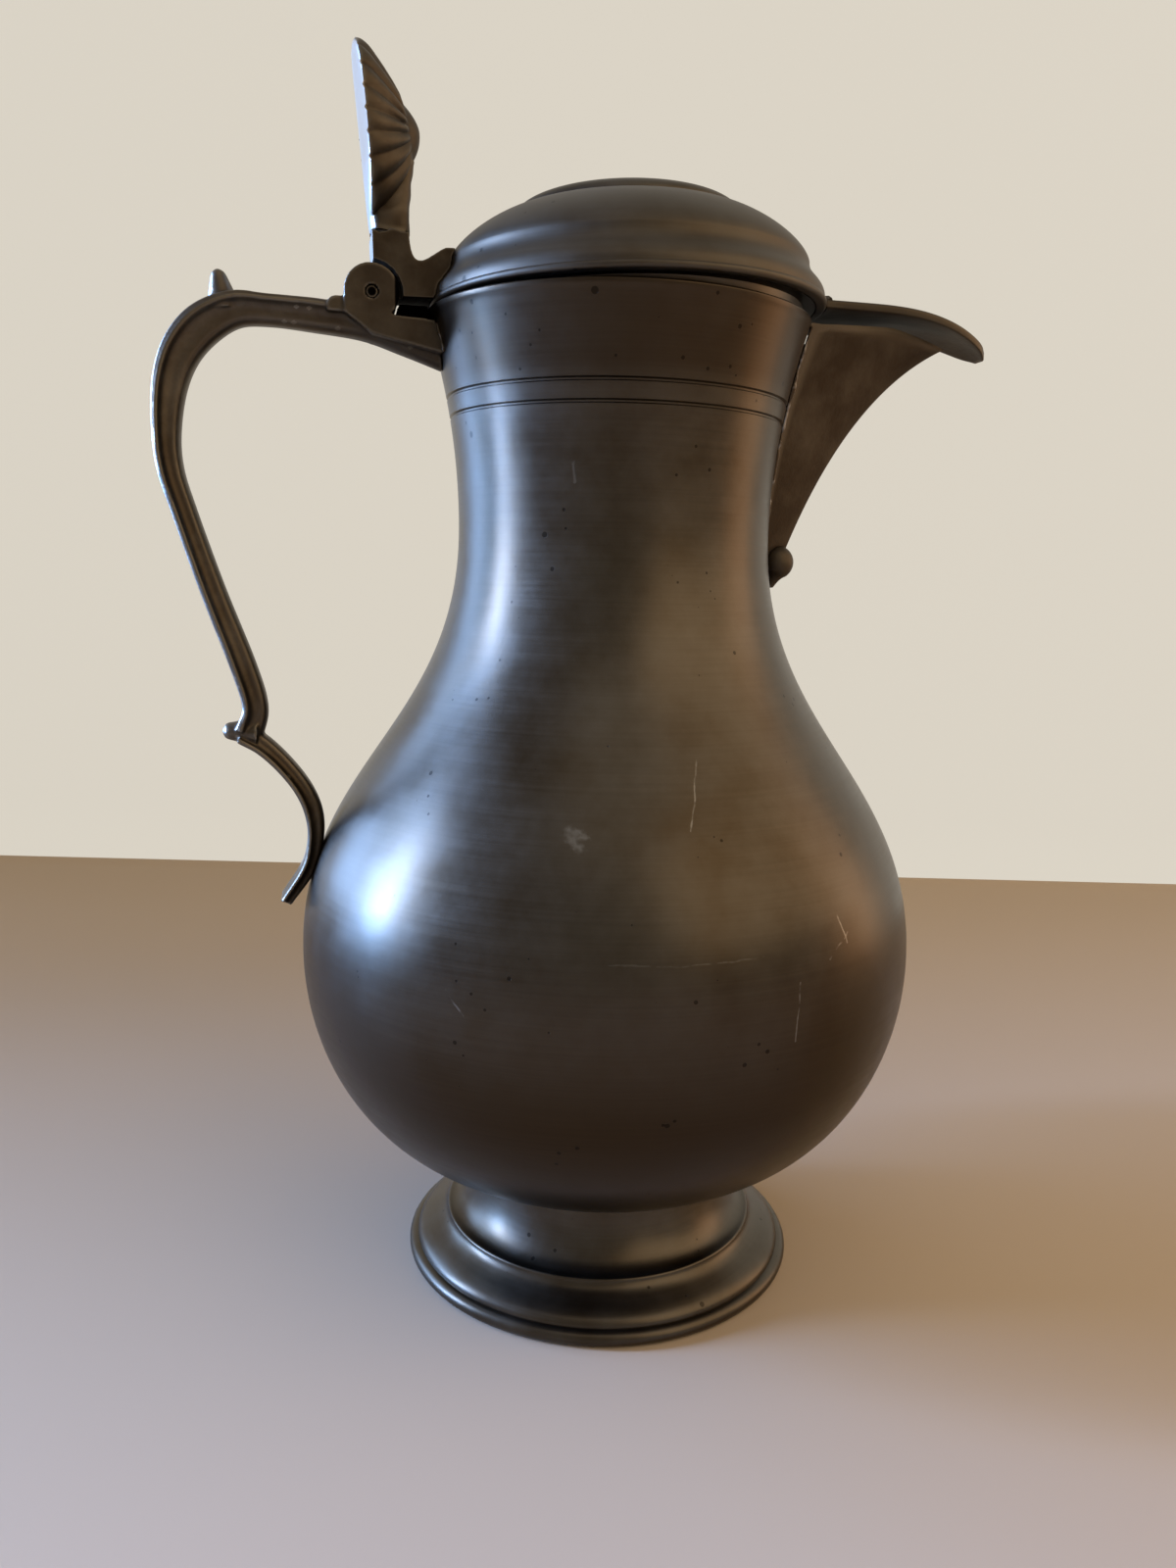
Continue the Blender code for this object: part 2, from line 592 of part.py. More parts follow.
def make_handle(material):
    """S-scroll handle with its spurs, ears and stepped moulding, one casting."""
    widths = [STRAP_HALF_WIDTH * share for share in STRAP_WIDTH_SHARES]
    handle = strap(
        "handle", STRAP_REACH_SHARES, STRAP_HEIGHT_SHARES, STRAP_THICKNESS_SHARES, widths,
        HANDLE_KNEE_HEIGHT, HANDLE_TOP_HEIGHT, material,
    )

    tail_widths = [TAIL_HALF_WIDTH] * len(TAIL_REACH_SHARES)
    tail = strap(
        "handle_tail", TAIL_REACH_SHARES, TAIL_HEIGHT_SHARES, TAIL_THICKNESS_SHARES, tail_widths,
        HANDLE_TAIL_HEIGHT, HANDLE_KNEE_HEIGHT,
    )
    boolean(handle, tail, "UNION")

    knee = (-HANDLE_REACH * TAIL_REACH_SHARES[0] + KNEE_SPUR_BASE, 0.0, HANDLE_KNEE_HEIGHT)
    boolean(
        handle,
        tapered_spur("handle_knee_spur", knee, (-1.0, 0.0, KNEE_SPUR_RISE_SHARE),
                     KNEE_SPUR_LENGTH + KNEE_SPUR_BASE, KNEE_SPUR_BASE, KNEE_SPUR_TIP, KNEE_SPUR_WIDTH_SHARE),
        "UNION",
    )
    base = (-HANDLE_REACH * TOP_SPUR_REACH_SHARE, 0.0, HANDLE_TOP_HEIGHT + STRAP_THICKNESS / 2 - TOP_SPUR_SINK)
    boolean(
        handle,
        tapered_spur("handle_top_spur", base, (-TOP_SPUR_LEAN, 0.0, TOP_SPUR_HEIGHT),
                     TOP_SPUR_HEIGHT + TOP_SPUR_SINK, TOP_SPUR_BASE, TOP_SPUR_TIP, TOP_SPUR_WIDTH_SHARE),
        "UNION",
    )

    step_foot = HANDLE_TOP_HEIGHT + MOULDING_STEP
    steps = arc((-MOULDING_REACH, step_foot), (MOULDING_RADIUS, MOULDING_RADIUS), 180, 90, 4)
    steps += [(-PIN_REACH, step_foot + MOULDING_RADIUS), (-PIN_REACH, HANDLE_TOP_HEIGHT)]
    steps += [(-MOULDING_REACH - MOULDING_RADIUS, HANDLE_TOP_HEIGHT)]
    boolean(handle, plate("handle_moulding", steps, STRAP_HALF_WIDTH), "UNION")

    block = arc((-PIN_REACH, PIN_HEIGHT), (EAR_RADIUS, EAR_RADIUS), -25, 190, 14)
    block += [
        (-PIN_REACH - EAR_RADIUS, HANDLE_TOP_HEIGHT),
        (-PIN_REACH, HANDLE_TOP_HEIGHT - EAR_RADIUS / 2),
        (-PIN_REACH + EAR_RADIUS, HANDLE_TOP_HEIGHT - EAR_RADIUS / 2),
    ]
    boolean(handle, plate("handle_ears", block, HINGE_HALF_WIDTH), "UNION")
    slot = KNUCKLE_RADIUS + EAR_RECESS_GAP
    bore = PIN_RADIUS + PIN_CLEARANCE
    far = HINGE_HALF_WIDTH + CUT_OVERRUN
    side = HINGE_HALF_WIDTH - EAR_THICKNESS
    stepped = [(bore, -far), (bore, -side), (slot, -side), (slot, side), (bore, side), (bore, far)]
    boolean(handle, bar("handle_slot_cutter", stepped), "DIFFERENCE")
    boolean(handle, body_envelope("handle_seat_cutter", SEAT_GAP), "DIFFERENCE")
    return handle


def make_hinge_pin(material):
    """Pin that joins the ears and carries the lid, its ends just below the ears' faces."""
    end = HINGE_HALF_WIDTH - PIN_SINK
    return bar("hinge_pin", [(PIN_RADIUS, -end), (PIN_RADIUS, end)], material)


def lid_height(height):
    """A height above the lid's edge, as a height above the table with the lid level."""
    return RIM_HEIGHT + LID_SEAT + height


def lid_outline():
    """Outside of the lid from its edge up to the middle of the raised disc."""
    brim = [(LID_RADIUS - LID_BRIM_HEIGHT / 4, 0.0), (LID_RADIUS, LID_BRIM_HEIGHT / 2)]
    band = bezier(
        [
            (LID_RADIUS - LID_BRIM_HEIGHT / 4, LID_BRIM_HEIGHT),
            (LID_BAND_RADIUS, LID_BRIM_HEIGHT + (LID_BAND_HEIGHT - LID_BRIM_HEIGHT) * LID_BAND_PULL_SHARE),
            (LID_BAND_RADIUS, LID_BAND_HEIGHT),
        ],
        3,
    )
    dome_drop = LID_SHOULDER_HEIGHT - LID_BAND_HEIGHT
    dome = bezier(
        [
            (LID_BAND_RADIUS, LID_BAND_HEIGHT),
            (
                LID_BAND_RADIUS - dome_drop * LID_DOME_LEAN_SHARE,
                LID_BAND_HEIGHT + dome_drop * LID_DOME_PULL_SHARE,
            ),
            (
                LID_DISC_RADIUS + dome_drop * LID_SHOULDER_PULL_SHARE,
                LID_SHOULDER_HEIGHT - dome_drop * LID_SHOULDER_DROP_SHARE,
            ),
            (LID_DISC_RADIUS, LID_SHOULDER_HEIGHT),
        ],
        6,
    )
    flat = LID_DISC_RADIUS * LID_DISC_FLAT_SHARE
    disc = arc((flat, LID_SHOULDER_HEIGHT), (LID_DISC_RADIUS - LID_DISC_STEP - flat, LID_DISC_HEIGHT), 0, 90, 3)
    crown = LID_SHOULDER_HEIGHT + LID_DISC_HEIGHT + LID_CROWN
    middle = (LID_DISC_RADIUS * LID_CROWN_REACH_SHARE, crown - LID_CROWN * LID_CROWN_DROP_SHARE)
    return brim + band + dome[1:] + disc + [middle, (0.0, crown)]


def hang_on_lid(obj, axis_empty):
    """Carry a piece on the lid's axis, keeping where it was modelled with the lid level."""
    place = obj.matrix_basis.copy()
    obj.parent = axis_empty
    obj.matrix_basis = Matrix.Translation((PIN_REACH, 0.0, -PIN_HEIGHT)) @ place


def make_lid(material):
    """Domed lid, open underneath."""
    outside = lid_outline()
    lip = LID_RADIUS - LID_LIP_WIDTH
    ledge = BEZEL_WALL + SEAT_GAP
    vault = [(radius, height) for radius, height in inset(outside, LID_WALL)[::2] if radius > 0.0]
    vault = [point for point in vault if point[1] > LID_BAND_HEIGHT / 2]
    inner = [(lip, 0.0), (lip, ledge), *vault, (0.0, outside[-1][1] - LID_WALL)]
    outline = [(radius, lid_height(height)) for radius, height in outside + inner[::-1]]
    lid = turned("lid", outline, material)
    lid.location.x = LID_OFFSET
    return lid


def make_bezel(material):
    """Ring soldered under the lid, which drops into the neck."""
    edge = LID_RADIUS - LID_LIP_WIDTH - SEAT_GAP
    outline = [
        (BEZEL_RADIUS - BEZEL_TAPER, -BEZEL_DEPTH),
        (BEZEL_RADIUS, 0.0),
        (edge, 0.0),
        (edge, BEZEL_WALL),
        (BEZEL_RADIUS - BEZEL_WALL, BEZEL_WALL),
        (BEZEL_RADIUS - BEZEL_TAPER - BEZEL_WALL, -BEZEL_DEPTH),
    ]
    bezel = turned("lid_bezel", [(radius, lid_height(height)) for radius, height in outline], material)
    bezel.location.x = LID_OFFSET
    return bezel


def make_spout_flap(material):
    """Leaf soldered to the lid's rim: it roofs the spout and droops at its rounded tip."""
    across = [-share for share in FLAP_SIDE_SHARES[::-1]] + [0.0, *FLAP_SIDE_SHARES]
    sections = []
    root = LID_OFFSET + LID_RADIUS + SEAT_GAP
    for along, width_share in zip(FLAP_STATION_SHARES, FLAP_WIDTH_SHARES):
        half_width = FLAP_HALF_WIDTH * width_share
        bent = max(along - FLAP_DROOP_START_SHARE, 0.0) / (1 - FLAP_DROOP_START_SHARE)
        middle = FLAP_RISE - FLAP_DROOP * bent**FLAP_DROOP_POWER
        lower = []
        upper = []
        for side in across:
            y = half_width * side
            rim = LID_OFFSET + math.sqrt((LID_RADIUS + SEAT_GAP) ** 2 - y**2)
            x = rim + (FLAP_REACH - root) * along
            camber = FLAP_CAMBER * width_share * side**2
            lower.append((x, y, lid_height(middle - camber)))
            upper.append((x, y, lid_height(middle + FLAP_THICKNESS - camber)))
        sections.append(lower + upper[::-1])
    return lofted("spout_flap", sections, material)


def make_lid_lever(material):
    """Cast lever from the knuckle between the ears up to the lid's shoulder, with the thumbpiece's stump."""
    start = 90 + math.degrees(math.asin(STEM_BACK / KNUCKLE_RADIUS))
    end = 360 + math.degrees(math.asin(LEVER_FOOT_HEIGHT / KNUCKLE_RADIUS))
    knuckle = arc((0.0, 0.0), (KNUCKLE_RADIUS, KNUCKLE_RADIUS), start, end, 18)
    throat = bezier(
        [
            (LEVER_NUB_REACH, LEVER_NUB_HEIGHT),
            (LEVER_THROAT_REACH + (LEVER_NUB_REACH - LEVER_THROAT_REACH) / 2, LEVER_THROAT_HEIGHT),
            (STEM_FRONT, LEVER_THROAT_HEIGHT),
            (STEM_FRONT, CRACK_HEIGHT),
        ],
        6,
    )
    lid_middle = PIN_REACH + LID_OFFSET
    outline = knuckle + [(lid_middle, LEVER_FOOT_HEIGHT), (lid_middle, LEVER_NUB_HEIGHT)]
    outline += throat + [(-STEM_BACK, CRACK_HEIGHT)]
    lever = plate("lid_lever", outline, LEVER_HALF_WIDTH, material)
    lever.location = (-PIN_REACH, 0.0, PIN_HEIGHT)

    recess = EAR_RADIUS + EAR_RECESS_GAP
    bore = PIN_RADIUS + PIN_CLEARANCE
    side = HINGE_HALF_WIDTH - EAR_THICKNESS - SEAT_GAP
    far = HINGE_HALF_WIDTH
    stepped = [(recess, -far), (recess, -side), (bore, -side), (bore, side), (recess, side), (recess, far)]
    boolean(lever, bar("lever_knuckle_cutter", stepped), "DIFFERENCE")
    grown = [(radius + SEAT_GAP, height) for radius, height in lid_outline()]
    grown[-1] = (0.0, grown[-1][1])
    solid = [(grown[0][0], -BEZEL_DEPTH)] + grown + [(0.0, -BEZEL_DEPTH)]
    trim = turned("lever_seat_cutter", [(radius, lid_height(height)) for radius, height in solid])
    trim.location.x = LID_OFFSET
    boolean(lever, trim, "DIFFERENCE")
    return lever, [trim]


def shell_radius(angle):
    """Distance from the shell's boss to its rim: a fan, broad at the top, drawn in at the stem."""
    up, power = (SHELL_TOP, SHELL_TOP_POWER) if math.sin(angle) > 0 else (SHELL_BOTTOM, SHELL_BOTTOM_POWER)
    across = abs(math.cos(angle) / SHELL_HALF_WIDTH) ** power
    along = abs(math.sin(angle) / up) ** power
    return (across + along) ** (-1 / power)


def stem_lean(height):
    """How far the thumbpiece's back stands from the hinge pin's plane at a height above the pin."""
    return -STEM_BACK - SHELL_LEAN * (height - CRACK_HEIGHT) / (SHELL_BOSS_HEIGHT - CRACK_HEIGHT)


def shell_loop(bm, share, rise):
    """One loop of the shell at a share of the way out to its rim; rise gives the surface there."""
    loop = []
    for k in range(SHELL_RIBS * RIB_FACETS):
        angle = math.tau * k / (SHELL_RIBS * RIB_FACETS)
        distance = shell_radius(angle) * share
        height = SHELL_BOSS_HEIGHT + distance * math.sin(angle)
        reach = stem_lean(height) + rise(share, distance, angle)
        loop.append(bm.verts.new((reach, distance * math.cos(angle), height)))
    return loop


def shell_front(share, distance, angle):
    """The ribbed front: a dome with a boss in the middle and ribs that fade in towards the rim."""
    bulge = SHELL_EDGE + (1 - share**2) * SHELL_DEPTH
    if distance < SHELL_BOSS_RADIUS:
        return bulge + (1 - (distance / SHELL_BOSS_RADIUS) ** 2) * SHELL_BOSS_RISE
    fade = min(share / SHELL_RIB_START_SHARE, 1.0)
    return bulge + math.cos(angle * SHELL_RIBS) * SHELL_RIB_DEPTH * fade


def shell_back(share, distance, angle):
    """The plain back, very slightly domed."""
    return -SHELL_BACK_CAMBER * (1 - share**2)


def make_thumbpiece(material):
    """Ribbed shell on its stem. The ribs run from the boss to the rim, and lift it into scallops."""
    bm = bmesh.new()
    loops = [shell_loop(bm, share, shell_front) for share in SHELL_FRONT_SHARES]
    loops += [shell_loop(bm, share, shell_back) for share in SHELL_BACK_SHARES]
    for inner, outer in zip(loops, loops[1:]):
        for k, vert in enumerate(inner):
            j = (k + 1) % len(inner)
            bm.faces.new((vert, inner[j], outer[j], outer[k]))
    middle = stem_lean(SHELL_BOSS_HEIGHT)
    tip = bm.verts.new((middle + SHELL_EDGE + SHELL_DEPTH + SHELL_BOSS_RISE, 0.0, SHELL_BOSS_HEIGHT))
    heel = bm.verts.new((middle - SHELL_BACK_CAMBER, 0.0, SHELL_BOSS_HEIGHT))
    for k, vert in enumerate(loops[0]):
        j = (k + 1) % len(loops[0])
        bm.faces.new((tip, loops[0][j], vert))
        bm.faces.new((heel, loops[-1][k], loops[-1][j]))
    thumbpiece = link_mesh("thumbpiece", bm, material)
    thumbpiece.location = (-PIN_REACH, 0.0, PIN_HEIGHT)

    sections = []
    rise = SHELL_BOSS_HEIGHT - SHELL_BOSS_RADIUS - CRACK_HEIGHT
    for share, width_share, back_share in zip(STEM_STATION_SHARES, STEM_WIDTH_SHARES, STEM_BACK_SHARES):
        z = CRACK_HEIGHT + SEAT_GAP + rise * share
        rear = (stem_lean(z) + SHELL_EDGE / 2) * back_share - STEM_BACK * (1 - back_share)
        fore = STEM_FRONT - SHELL_EDGE * share
        half = STEM_HALF_WIDTH * width_share
        corner = half * STEM_CHAMFER_SHARE
        side = [(rear, half), (fore - corner, half), (fore, half - corner)]
        sections.append([(x, -y, z) for x, y in side] + [(x, y, z) for x, y in side[::-1]])
    stem = lofted("thumbpiece_stem", sections)
    stem.location = thumbpiece.location
    boolean(thumbpiece, stem, "UNION")
    return thumbpiece, [stem]


def build():
    """Make every piece and hang the lid's on its tilted axis."""
    clear_scene()
    turned_pewter = pewter("turned_pewter", PEWTER_TURNED_COLOUR, PEWTER_ROUGHNESS)
    cast_pewter = pewter("cast_pewter", PEWTER_CAST_COLOUR, CAST_ROUGHNESS)

    make_foot(turned_pewter)
    make_lower_body(turned_pewter)
    make_upper_body(turned_pewter)
    make_spout(cast_pewter)
    make_handle(cast_pewter)
    make_hinge_pin(cast_pewter)

    axis_empty = bpy.data.objects.new("lid_axis", None)
    axis_empty.location = (-PIN_REACH, 0.0, PIN_HEIGHT)
    axis_empty.rotation_euler = (0.0, -LID_REST_TILT, 0.0)
    bpy.context.scene.collection.objects.link(axis_empty)
    lever, lever_tools = make_lid_lever(cast_pewter)
    thumbpiece, thumbpiece_tools = make_thumbpiece(cast_pewter)
    carried = [make_lid(turned_pewter), make_bezel(turned_pewter), make_spout_flap(cast_pewter)]
    carried += [lever, thumbpiece, *lever_tools, *thumbpiece_tools]
    for obj in carried:
        hang_on_lid(obj, axis_empty)


build()
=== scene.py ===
"""Pewter wine flagon: turned and cast pieces over the packed solids, their metals, the studio and the camera.

Laid out as an add-on and run as a script. Metres, +Z up, the foot's centre at the origin,
+X along the spout and -X along the handle.
"""

import math

import bmesh
import bpy
from mathutils import Matrix, Vector, noise


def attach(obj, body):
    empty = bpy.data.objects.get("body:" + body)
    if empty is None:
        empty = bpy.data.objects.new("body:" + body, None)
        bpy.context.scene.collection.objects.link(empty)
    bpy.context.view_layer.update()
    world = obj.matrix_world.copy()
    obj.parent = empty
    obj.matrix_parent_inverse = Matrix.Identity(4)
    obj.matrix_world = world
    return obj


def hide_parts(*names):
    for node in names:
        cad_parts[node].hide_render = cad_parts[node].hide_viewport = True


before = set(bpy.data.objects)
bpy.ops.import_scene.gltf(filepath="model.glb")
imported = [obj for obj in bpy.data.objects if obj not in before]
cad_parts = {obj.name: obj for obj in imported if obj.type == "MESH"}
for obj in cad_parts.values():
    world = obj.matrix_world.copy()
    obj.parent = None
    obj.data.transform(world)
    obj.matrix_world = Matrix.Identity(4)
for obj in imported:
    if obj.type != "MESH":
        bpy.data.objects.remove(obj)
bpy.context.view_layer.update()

bl_info = {
    "name": "Pewter flagon",
    "version": (1, 0, 0),
    "blender": (4, 5, 0),
    "location": "View3D > Sidebar > Flagon",
    "description": "Builds a hinged-lid pewter flagon piece by piece",
    "category": "Object",
}

JUG = "jug"
LID = "lid_assembly"
TURNED = "old_turned_pewter"
CAST = "old_cast_pewter"
SOLDER = "tin_solder"

# Radius of the circle that a turned profile is swept round, and the distance at which two points are one
HUB = 0.001
WELD = 0.000002
# Gaps in metres between pieces that touch, and round the pin
HAIR = 0.0001
SIDE_PLAY = 0.0003
PIN_PLAY = 0.00005
EAR_PLAY = 0.0007
# How far the lid is tipped up about the hinge pin at rest, in degrees
LID_TIP = 1.6

# Shapes drawn as shares of a length, so they follow the sizes in the panel. The handle's strap
# runs from its root at the neck, over the top and down to the knee, and its tail from the knee down
STRAP_REACH_SHARES = (
    0.385, 0.47, 0.56, 0.665, 0.76, 0.83, 0.893, 0.938,
    0.963, 0.972, 0.967, 0.943, 0.890, 0.831, 0.808, 0.822,
)
STRAP_HEIGHT_SHARES = (
    0.938, 0.956, 0.983, 0.995, 1.0, 0.996, 0.957, 0.895,
    0.815, 0.715, 0.63, 0.535, 0.35, 0.165, 0.065, 0.0,
)
STRAP_THICKNESS_SHARES = (
    1.82, 1.32, 1.20, 1.20, 1.14, 1.34, 1.56, 1.50,
    1.32, 1.10, 1.02, 0.98, 1.02, 1.08, 1.08, 1.20,
)
STRAP_WIDTH_SHARES = (
    0.96, 1.10, 1.20, 1.08, 1.0, 1.0, 1.0, 1.0,
    1.0, 1.0, 1.0, 0.98, 0.96, 0.94, 0.93, 0.92,
)
TAIL_REACH_SHARES = (0.838, 0.792, 0.744, 0.706, 0.686, 0.684, 0.700, 0.752)
TAIL_HEIGHT_SHARES = (1.0, 0.925, 0.80, 0.66, 0.52, 0.37, 0.20, 0.0)
TAIL_THICKNESS_SHARES = (0.90, 0.84, 0.80, 0.80, 0.80, 0.72, 0.66, 0.56)
# Half of the strap's section as shares of its thickness and half width, from the flat outer face,
# past the bead and the flute, to the round inner face
SECTION_SHARES = (
    (0.0, 0.0), (0.0, 0.45), (0.0, 0.80), (0.02, 0.88), (0.07, 0.90), (0.10, 0.93), (0.15, 1.0), (0.21, 1.0),
    (0.26, 0.94), (0.30, 0.84), (0.36, 0.76), (0.46, 0.69), (0.58, 0.65), (0.70, 0.645), (0.80, 0.63),
    (0.90, 0.55), (0.97, 0.38), (1.0, 0.18),
)
# Where the shell's boss ends and where its rim starts to roll over, on the way from its middle to its rim
BOSS_SHARE = 0.32
ROLL_START_SHARE = 0.90
# How far along its way from the neck to the lip the spout's top edge stands highest
ARCH_SHARE = 0.55
# Faces of the spout's sheets, up and across
SHEET_FACES = (56, 48)
# Outline of the leaf over the spout: how far along it each station stands, and its width there
FLAP_STATION_SHARES = (0.0, 0.16, 0.33, 0.50, 0.67, 0.82, 0.94, 1.0)
FLAP_WIDTH_SHARES = (1.0, 0.92, 0.83, 0.73, 0.62, 0.50, 0.34, 0.14)
# Wear at places of its own on the body: start, end and half width of each mark in metres, and its strength
BODY_MARKS = (
    ((-0.0208, -0.0554, 0.1164), (-0.0184, -0.0575, 0.1145), 0.0017, 0.20),
    ((0.0058, -0.0497, 0.1302), (0.0021, -0.0591, 0.1166), 0.00018, 0.26),
    ((0.0324, -0.0591, 0.1001), (0.0347, -0.0600, 0.0935), 0.00022, 0.50),
    ((0.0226, -0.0665, 0.0885), (0.0216, -0.0674, 0.0769), 0.00016, 0.30),
    ((0.0347, -0.0590, 0.0955), (0.0299, -0.0630, 0.0911), 0.00018, 0.30),
    ((-0.0159, -0.0672, 0.0940), (0.0146, -0.0674, 0.0944), 0.00015, 0.10),
    ((-0.0164, -0.0317, 0.1869), (-0.0158, -0.0318, 0.1828), 0.00030, 0.16),
    ((-0.0442, -0.0548, 0.0866), (-0.0405, -0.0575, 0.0820), 0.00018, 0.22),
)


def length(name, default, description):
    """A size in metres for the panel."""
    return bpy.props.FloatProperty(
        name=name, description=description, default=default,
        soft_min=0.0, unit="LENGTH", precision=5, step=0.01,
    )


def linear(hex_colour):
    """Linear red, green, blue and alpha of an sRGB hex colour."""
    channels = [int(hex_colour[i:i + 2], 16) / 255 for i in (1, 3, 5)]
    return tuple(c / 12.92 if c <= 0.04045 else ((c + 0.055) / 1.055) ** 2.4 for c in channels) + (1.0,)


def tint(name, hex_colour, description):
    """A colour for the panel."""
    return bpy.props.FloatVectorProperty(
        name=name, description=description, default=linear(hex_colour),
        size=4, min=0.0, max=1.0, subtype="COLOR",
    )


class FlagonFootSizes(bpy.types.PropertyGroup):
    """Sizes of the turned foot."""
    radius: length("Radius", 0.047, "Radius of the rim bead")
    bead_height: length("Bead height", 0.0037, "Height of the rim bead")
    crease_radius: length("Crease radius", 0.0449, "Radius of the crease above the bead")
    step_radius: length("Step radius", 0.0376, "Radius of the fine step above the ogee")
    step_height: length("Step height", 0.0108, "Height of the fine step above the table")
    step_lip: length("Step lip", 0.0006, "Height and set-back of the fine step")
    wall: length("Wall", 0.0024, "Thickness of the cavetto's wall")
    ledge_height: length("Ledge height", 0.0070, "Height at which the hollow underneath widens")
    stand_width: length("Stand width", 0.0045, "Width of the ring that the flagon stands on")
    waist_radius: length("Waist radius", 0.0296, "Radius where the foot meets the bulb")
    waist_height: length("Waist height", 0.0275, "Height where the foot meets the bulb")


class FlagonBodySizes(bpy.types.PropertyGroup):
    """Sizes of the turned body."""
    belly_radius: length("Belly radius", 0.0711, "Largest radius of the bulb")
    belly_height: length("Belly height", 0.0790, "Height of the bulb's widest place")
    neck_radius: length("Neck radius", 0.0352, "Radius of the narrowest part of the neck")
    neck_height: length("Neck height", 0.1744, "Height of the narrowest part of the neck")
    rim_radius: length("Rim radius", 0.0425, "Outer radius of the mouth")
    rim_height: length("Rim height", 0.2199, "Height of the mouth")
    shoulder_pull: length("Shoulder fullness", 0.0416, "How far the bulb's curve runs on upwards")
    neck_pull: length("Neck fullness", 0.0443, "How far the neck's curve runs on downwards")
    wall: length("Wall", 0.0020, "Thickness of the wall")
    bottom_wall: length("Bottom", 0.0026, "Thickness of the bottom")
    groove_low: length("Lower groove", 0.1982, "Height of the lower turned groove")
    groove_high: length("Upper groove", 0.2023, "Height of the upper turned groove")
    groove_width: length("Groove width", 0.0009, "Width of each turned groove")
    groove_depth: length("Groove depth", 0.00045, "Depth of each turned groove")


class FlagonSpoutSizes(bpy.types.PropertyGroup):
    """Sizes of the beak spout."""
    foot_reach: length("Foot reach", 0.0416, "Distance of the keel's foot from the axis")
    foot_height: length("Foot height", 0.1700, "Height of the keel's foot")
    bend_reach: length("Bend reach", 0.0562, "Distance of the keel's bend from the axis")
    bend_height: length("Bend height", 0.2080, "Height of the keel's bend")
    tip_reach: length("Tip reach", 0.0800, "Distance of the lip from the axis")
    tip_height: length("Tip height", 0.2192, "Height of the lip")
    top_half_width: length("Half width at the top", 0.0150, "Half width at the mouth")
    foot_half_width: length("Half width at the foot", 0.0030, "Half width at the foot")
    wall: length("Wall", 0.0017, "Thickness of the wall")
    arch_rise: length("Arch rise", 0.0018, "How far the top edge arches above the mouth")
    mouth_foot_height: length("Opening height", 0.1840, "Lowest point of the opening behind the spout")
    mouth_top_half_width: length("Opening half width", 0.0115, "Half width of the opening at the top")
    mouth_foot_half_width: length("Opening foot half width", 0.0028, "Half width of the opening at its foot")
    drop_radius: length("Drop radius", 0.0040, "Radius of the drop under the keel")


class FlagonHandleSizes(bpy.types.PropertyGroup):
    """Sizes of the S-scroll handle and the hinge."""
    reach: length("Reach", 0.0991, "Distance of the handle's outside from the axis")
    top_height: length("Top height", 0.2174, "Height of the strap's middle at the top")
    knee_height: length("Knee height", 0.1290, "Height of the knee")
    tail_height: length("Tail height", 0.0905, "Height of the tail's end")
    thickness: length("Thickness", 0.0050, "Usual thickness of the strap")
    half_width: length("Half width", 0.0052, "Half width of the strap")
    tail_half_width: length("Tail half width", 0.0044, "Half width of the tail")
    spur_reach: length("Top spur reach", 0.0842, "Distance of the top spur from the axis")
    spur_height: length("Top spur height", 0.0054, "Height of the top spur above the strap")
    knee_spur_length: length("Knee spur length", 0.0042, "Length of the knee spur")
    pin_reach: length("Pin reach", 0.0543, "Distance of the hinge pin from the axis")
    pin_height: length("Pin height", 0.2217, "Height of the hinge pin")
    pin_radius: length("Pin radius", 0.00125, "Radius of the hinge pin")
    ear_radius: length("Ear radius", 0.0057, "Radius of the hinge ears")
    ear_thickness: length("Ear thickness", 0.0032, "Thickness of each ear")
    hinge_half_width: length("Hinge half width", 0.0065, "Half of the width over both ears")
    knuckle_radius: length("Knuckle radius", 0.0053, "Radius of the lever's knuckle")


class FlagonLidSizes(bpy.types.PropertyGroup):
    """Sizes of the lid, its bezel, its leaf and its lever."""
    radius: length("Radius", 0.0437, "Radius of the lid's rim")
    offset: length("Offset", 0.0020, "How far the lid sits towards the spout")
    seat: length("Seat", 0.0002, "Gap between the lid and the mouth")
    brim_height: length("Brim height", 0.0016, "Height of the rounded brim")
    band_radius: length("Band radius", 0.0398, "Radius above the flared band")
    band_height: length("Band height", 0.0092, "Height of the flared band")
    shoulder_height: length("Shoulder height", 0.0195, "Height of the disc's crease above the brim")
    disc_radius: length("Disc radius", 0.0256, "Radius of the raised disc")
    disc_height: length("Disc height", 0.0032, "Height of the raised disc's edge")
    crown: length("Crown", 0.0014, "Rise of the disc's middle")
    wall: length("Wall", 0.0018, "Thickness of the wall")
    bezel_radius: length("Bezel radius", 0.0385, "Radius of the ring that drops into the neck")
    bezel_depth: length("Bezel depth", 0.0050, "Depth of the ring")
    flap_half_width: length("Leaf half width", 0.0160, "Half width of the leaf at the lid")
    flap_reach: length("Leaf reach", 0.0893, "Distance of the leaf's tip from the axis")
    flap_thickness: length("Leaf thickness", 0.0024, "Thickness of the leaf")
    flap_droop: length("Leaf droop", 0.0080, "How far the leaf's tip droops")
    crack_height: length("Crack height", 0.0122, "Height of the crack above the hinge pin")
    stem_front: length("Stem front", 0.0081, "Distance of the stem's front from the pin")
    throat_pull: length("Throat pull", 0.0020, "Height that the throat's curve is drawn down to")
    nub_reach: length("Nub reach", 0.0159, "Distance of the lever's nub from the pin")
    nub_height: length("Nub height", 0.0094, "Height of the lever's nub above the pin")
    lever_half_width: length("Lever half width", 0.0060, "Half width of the lever")


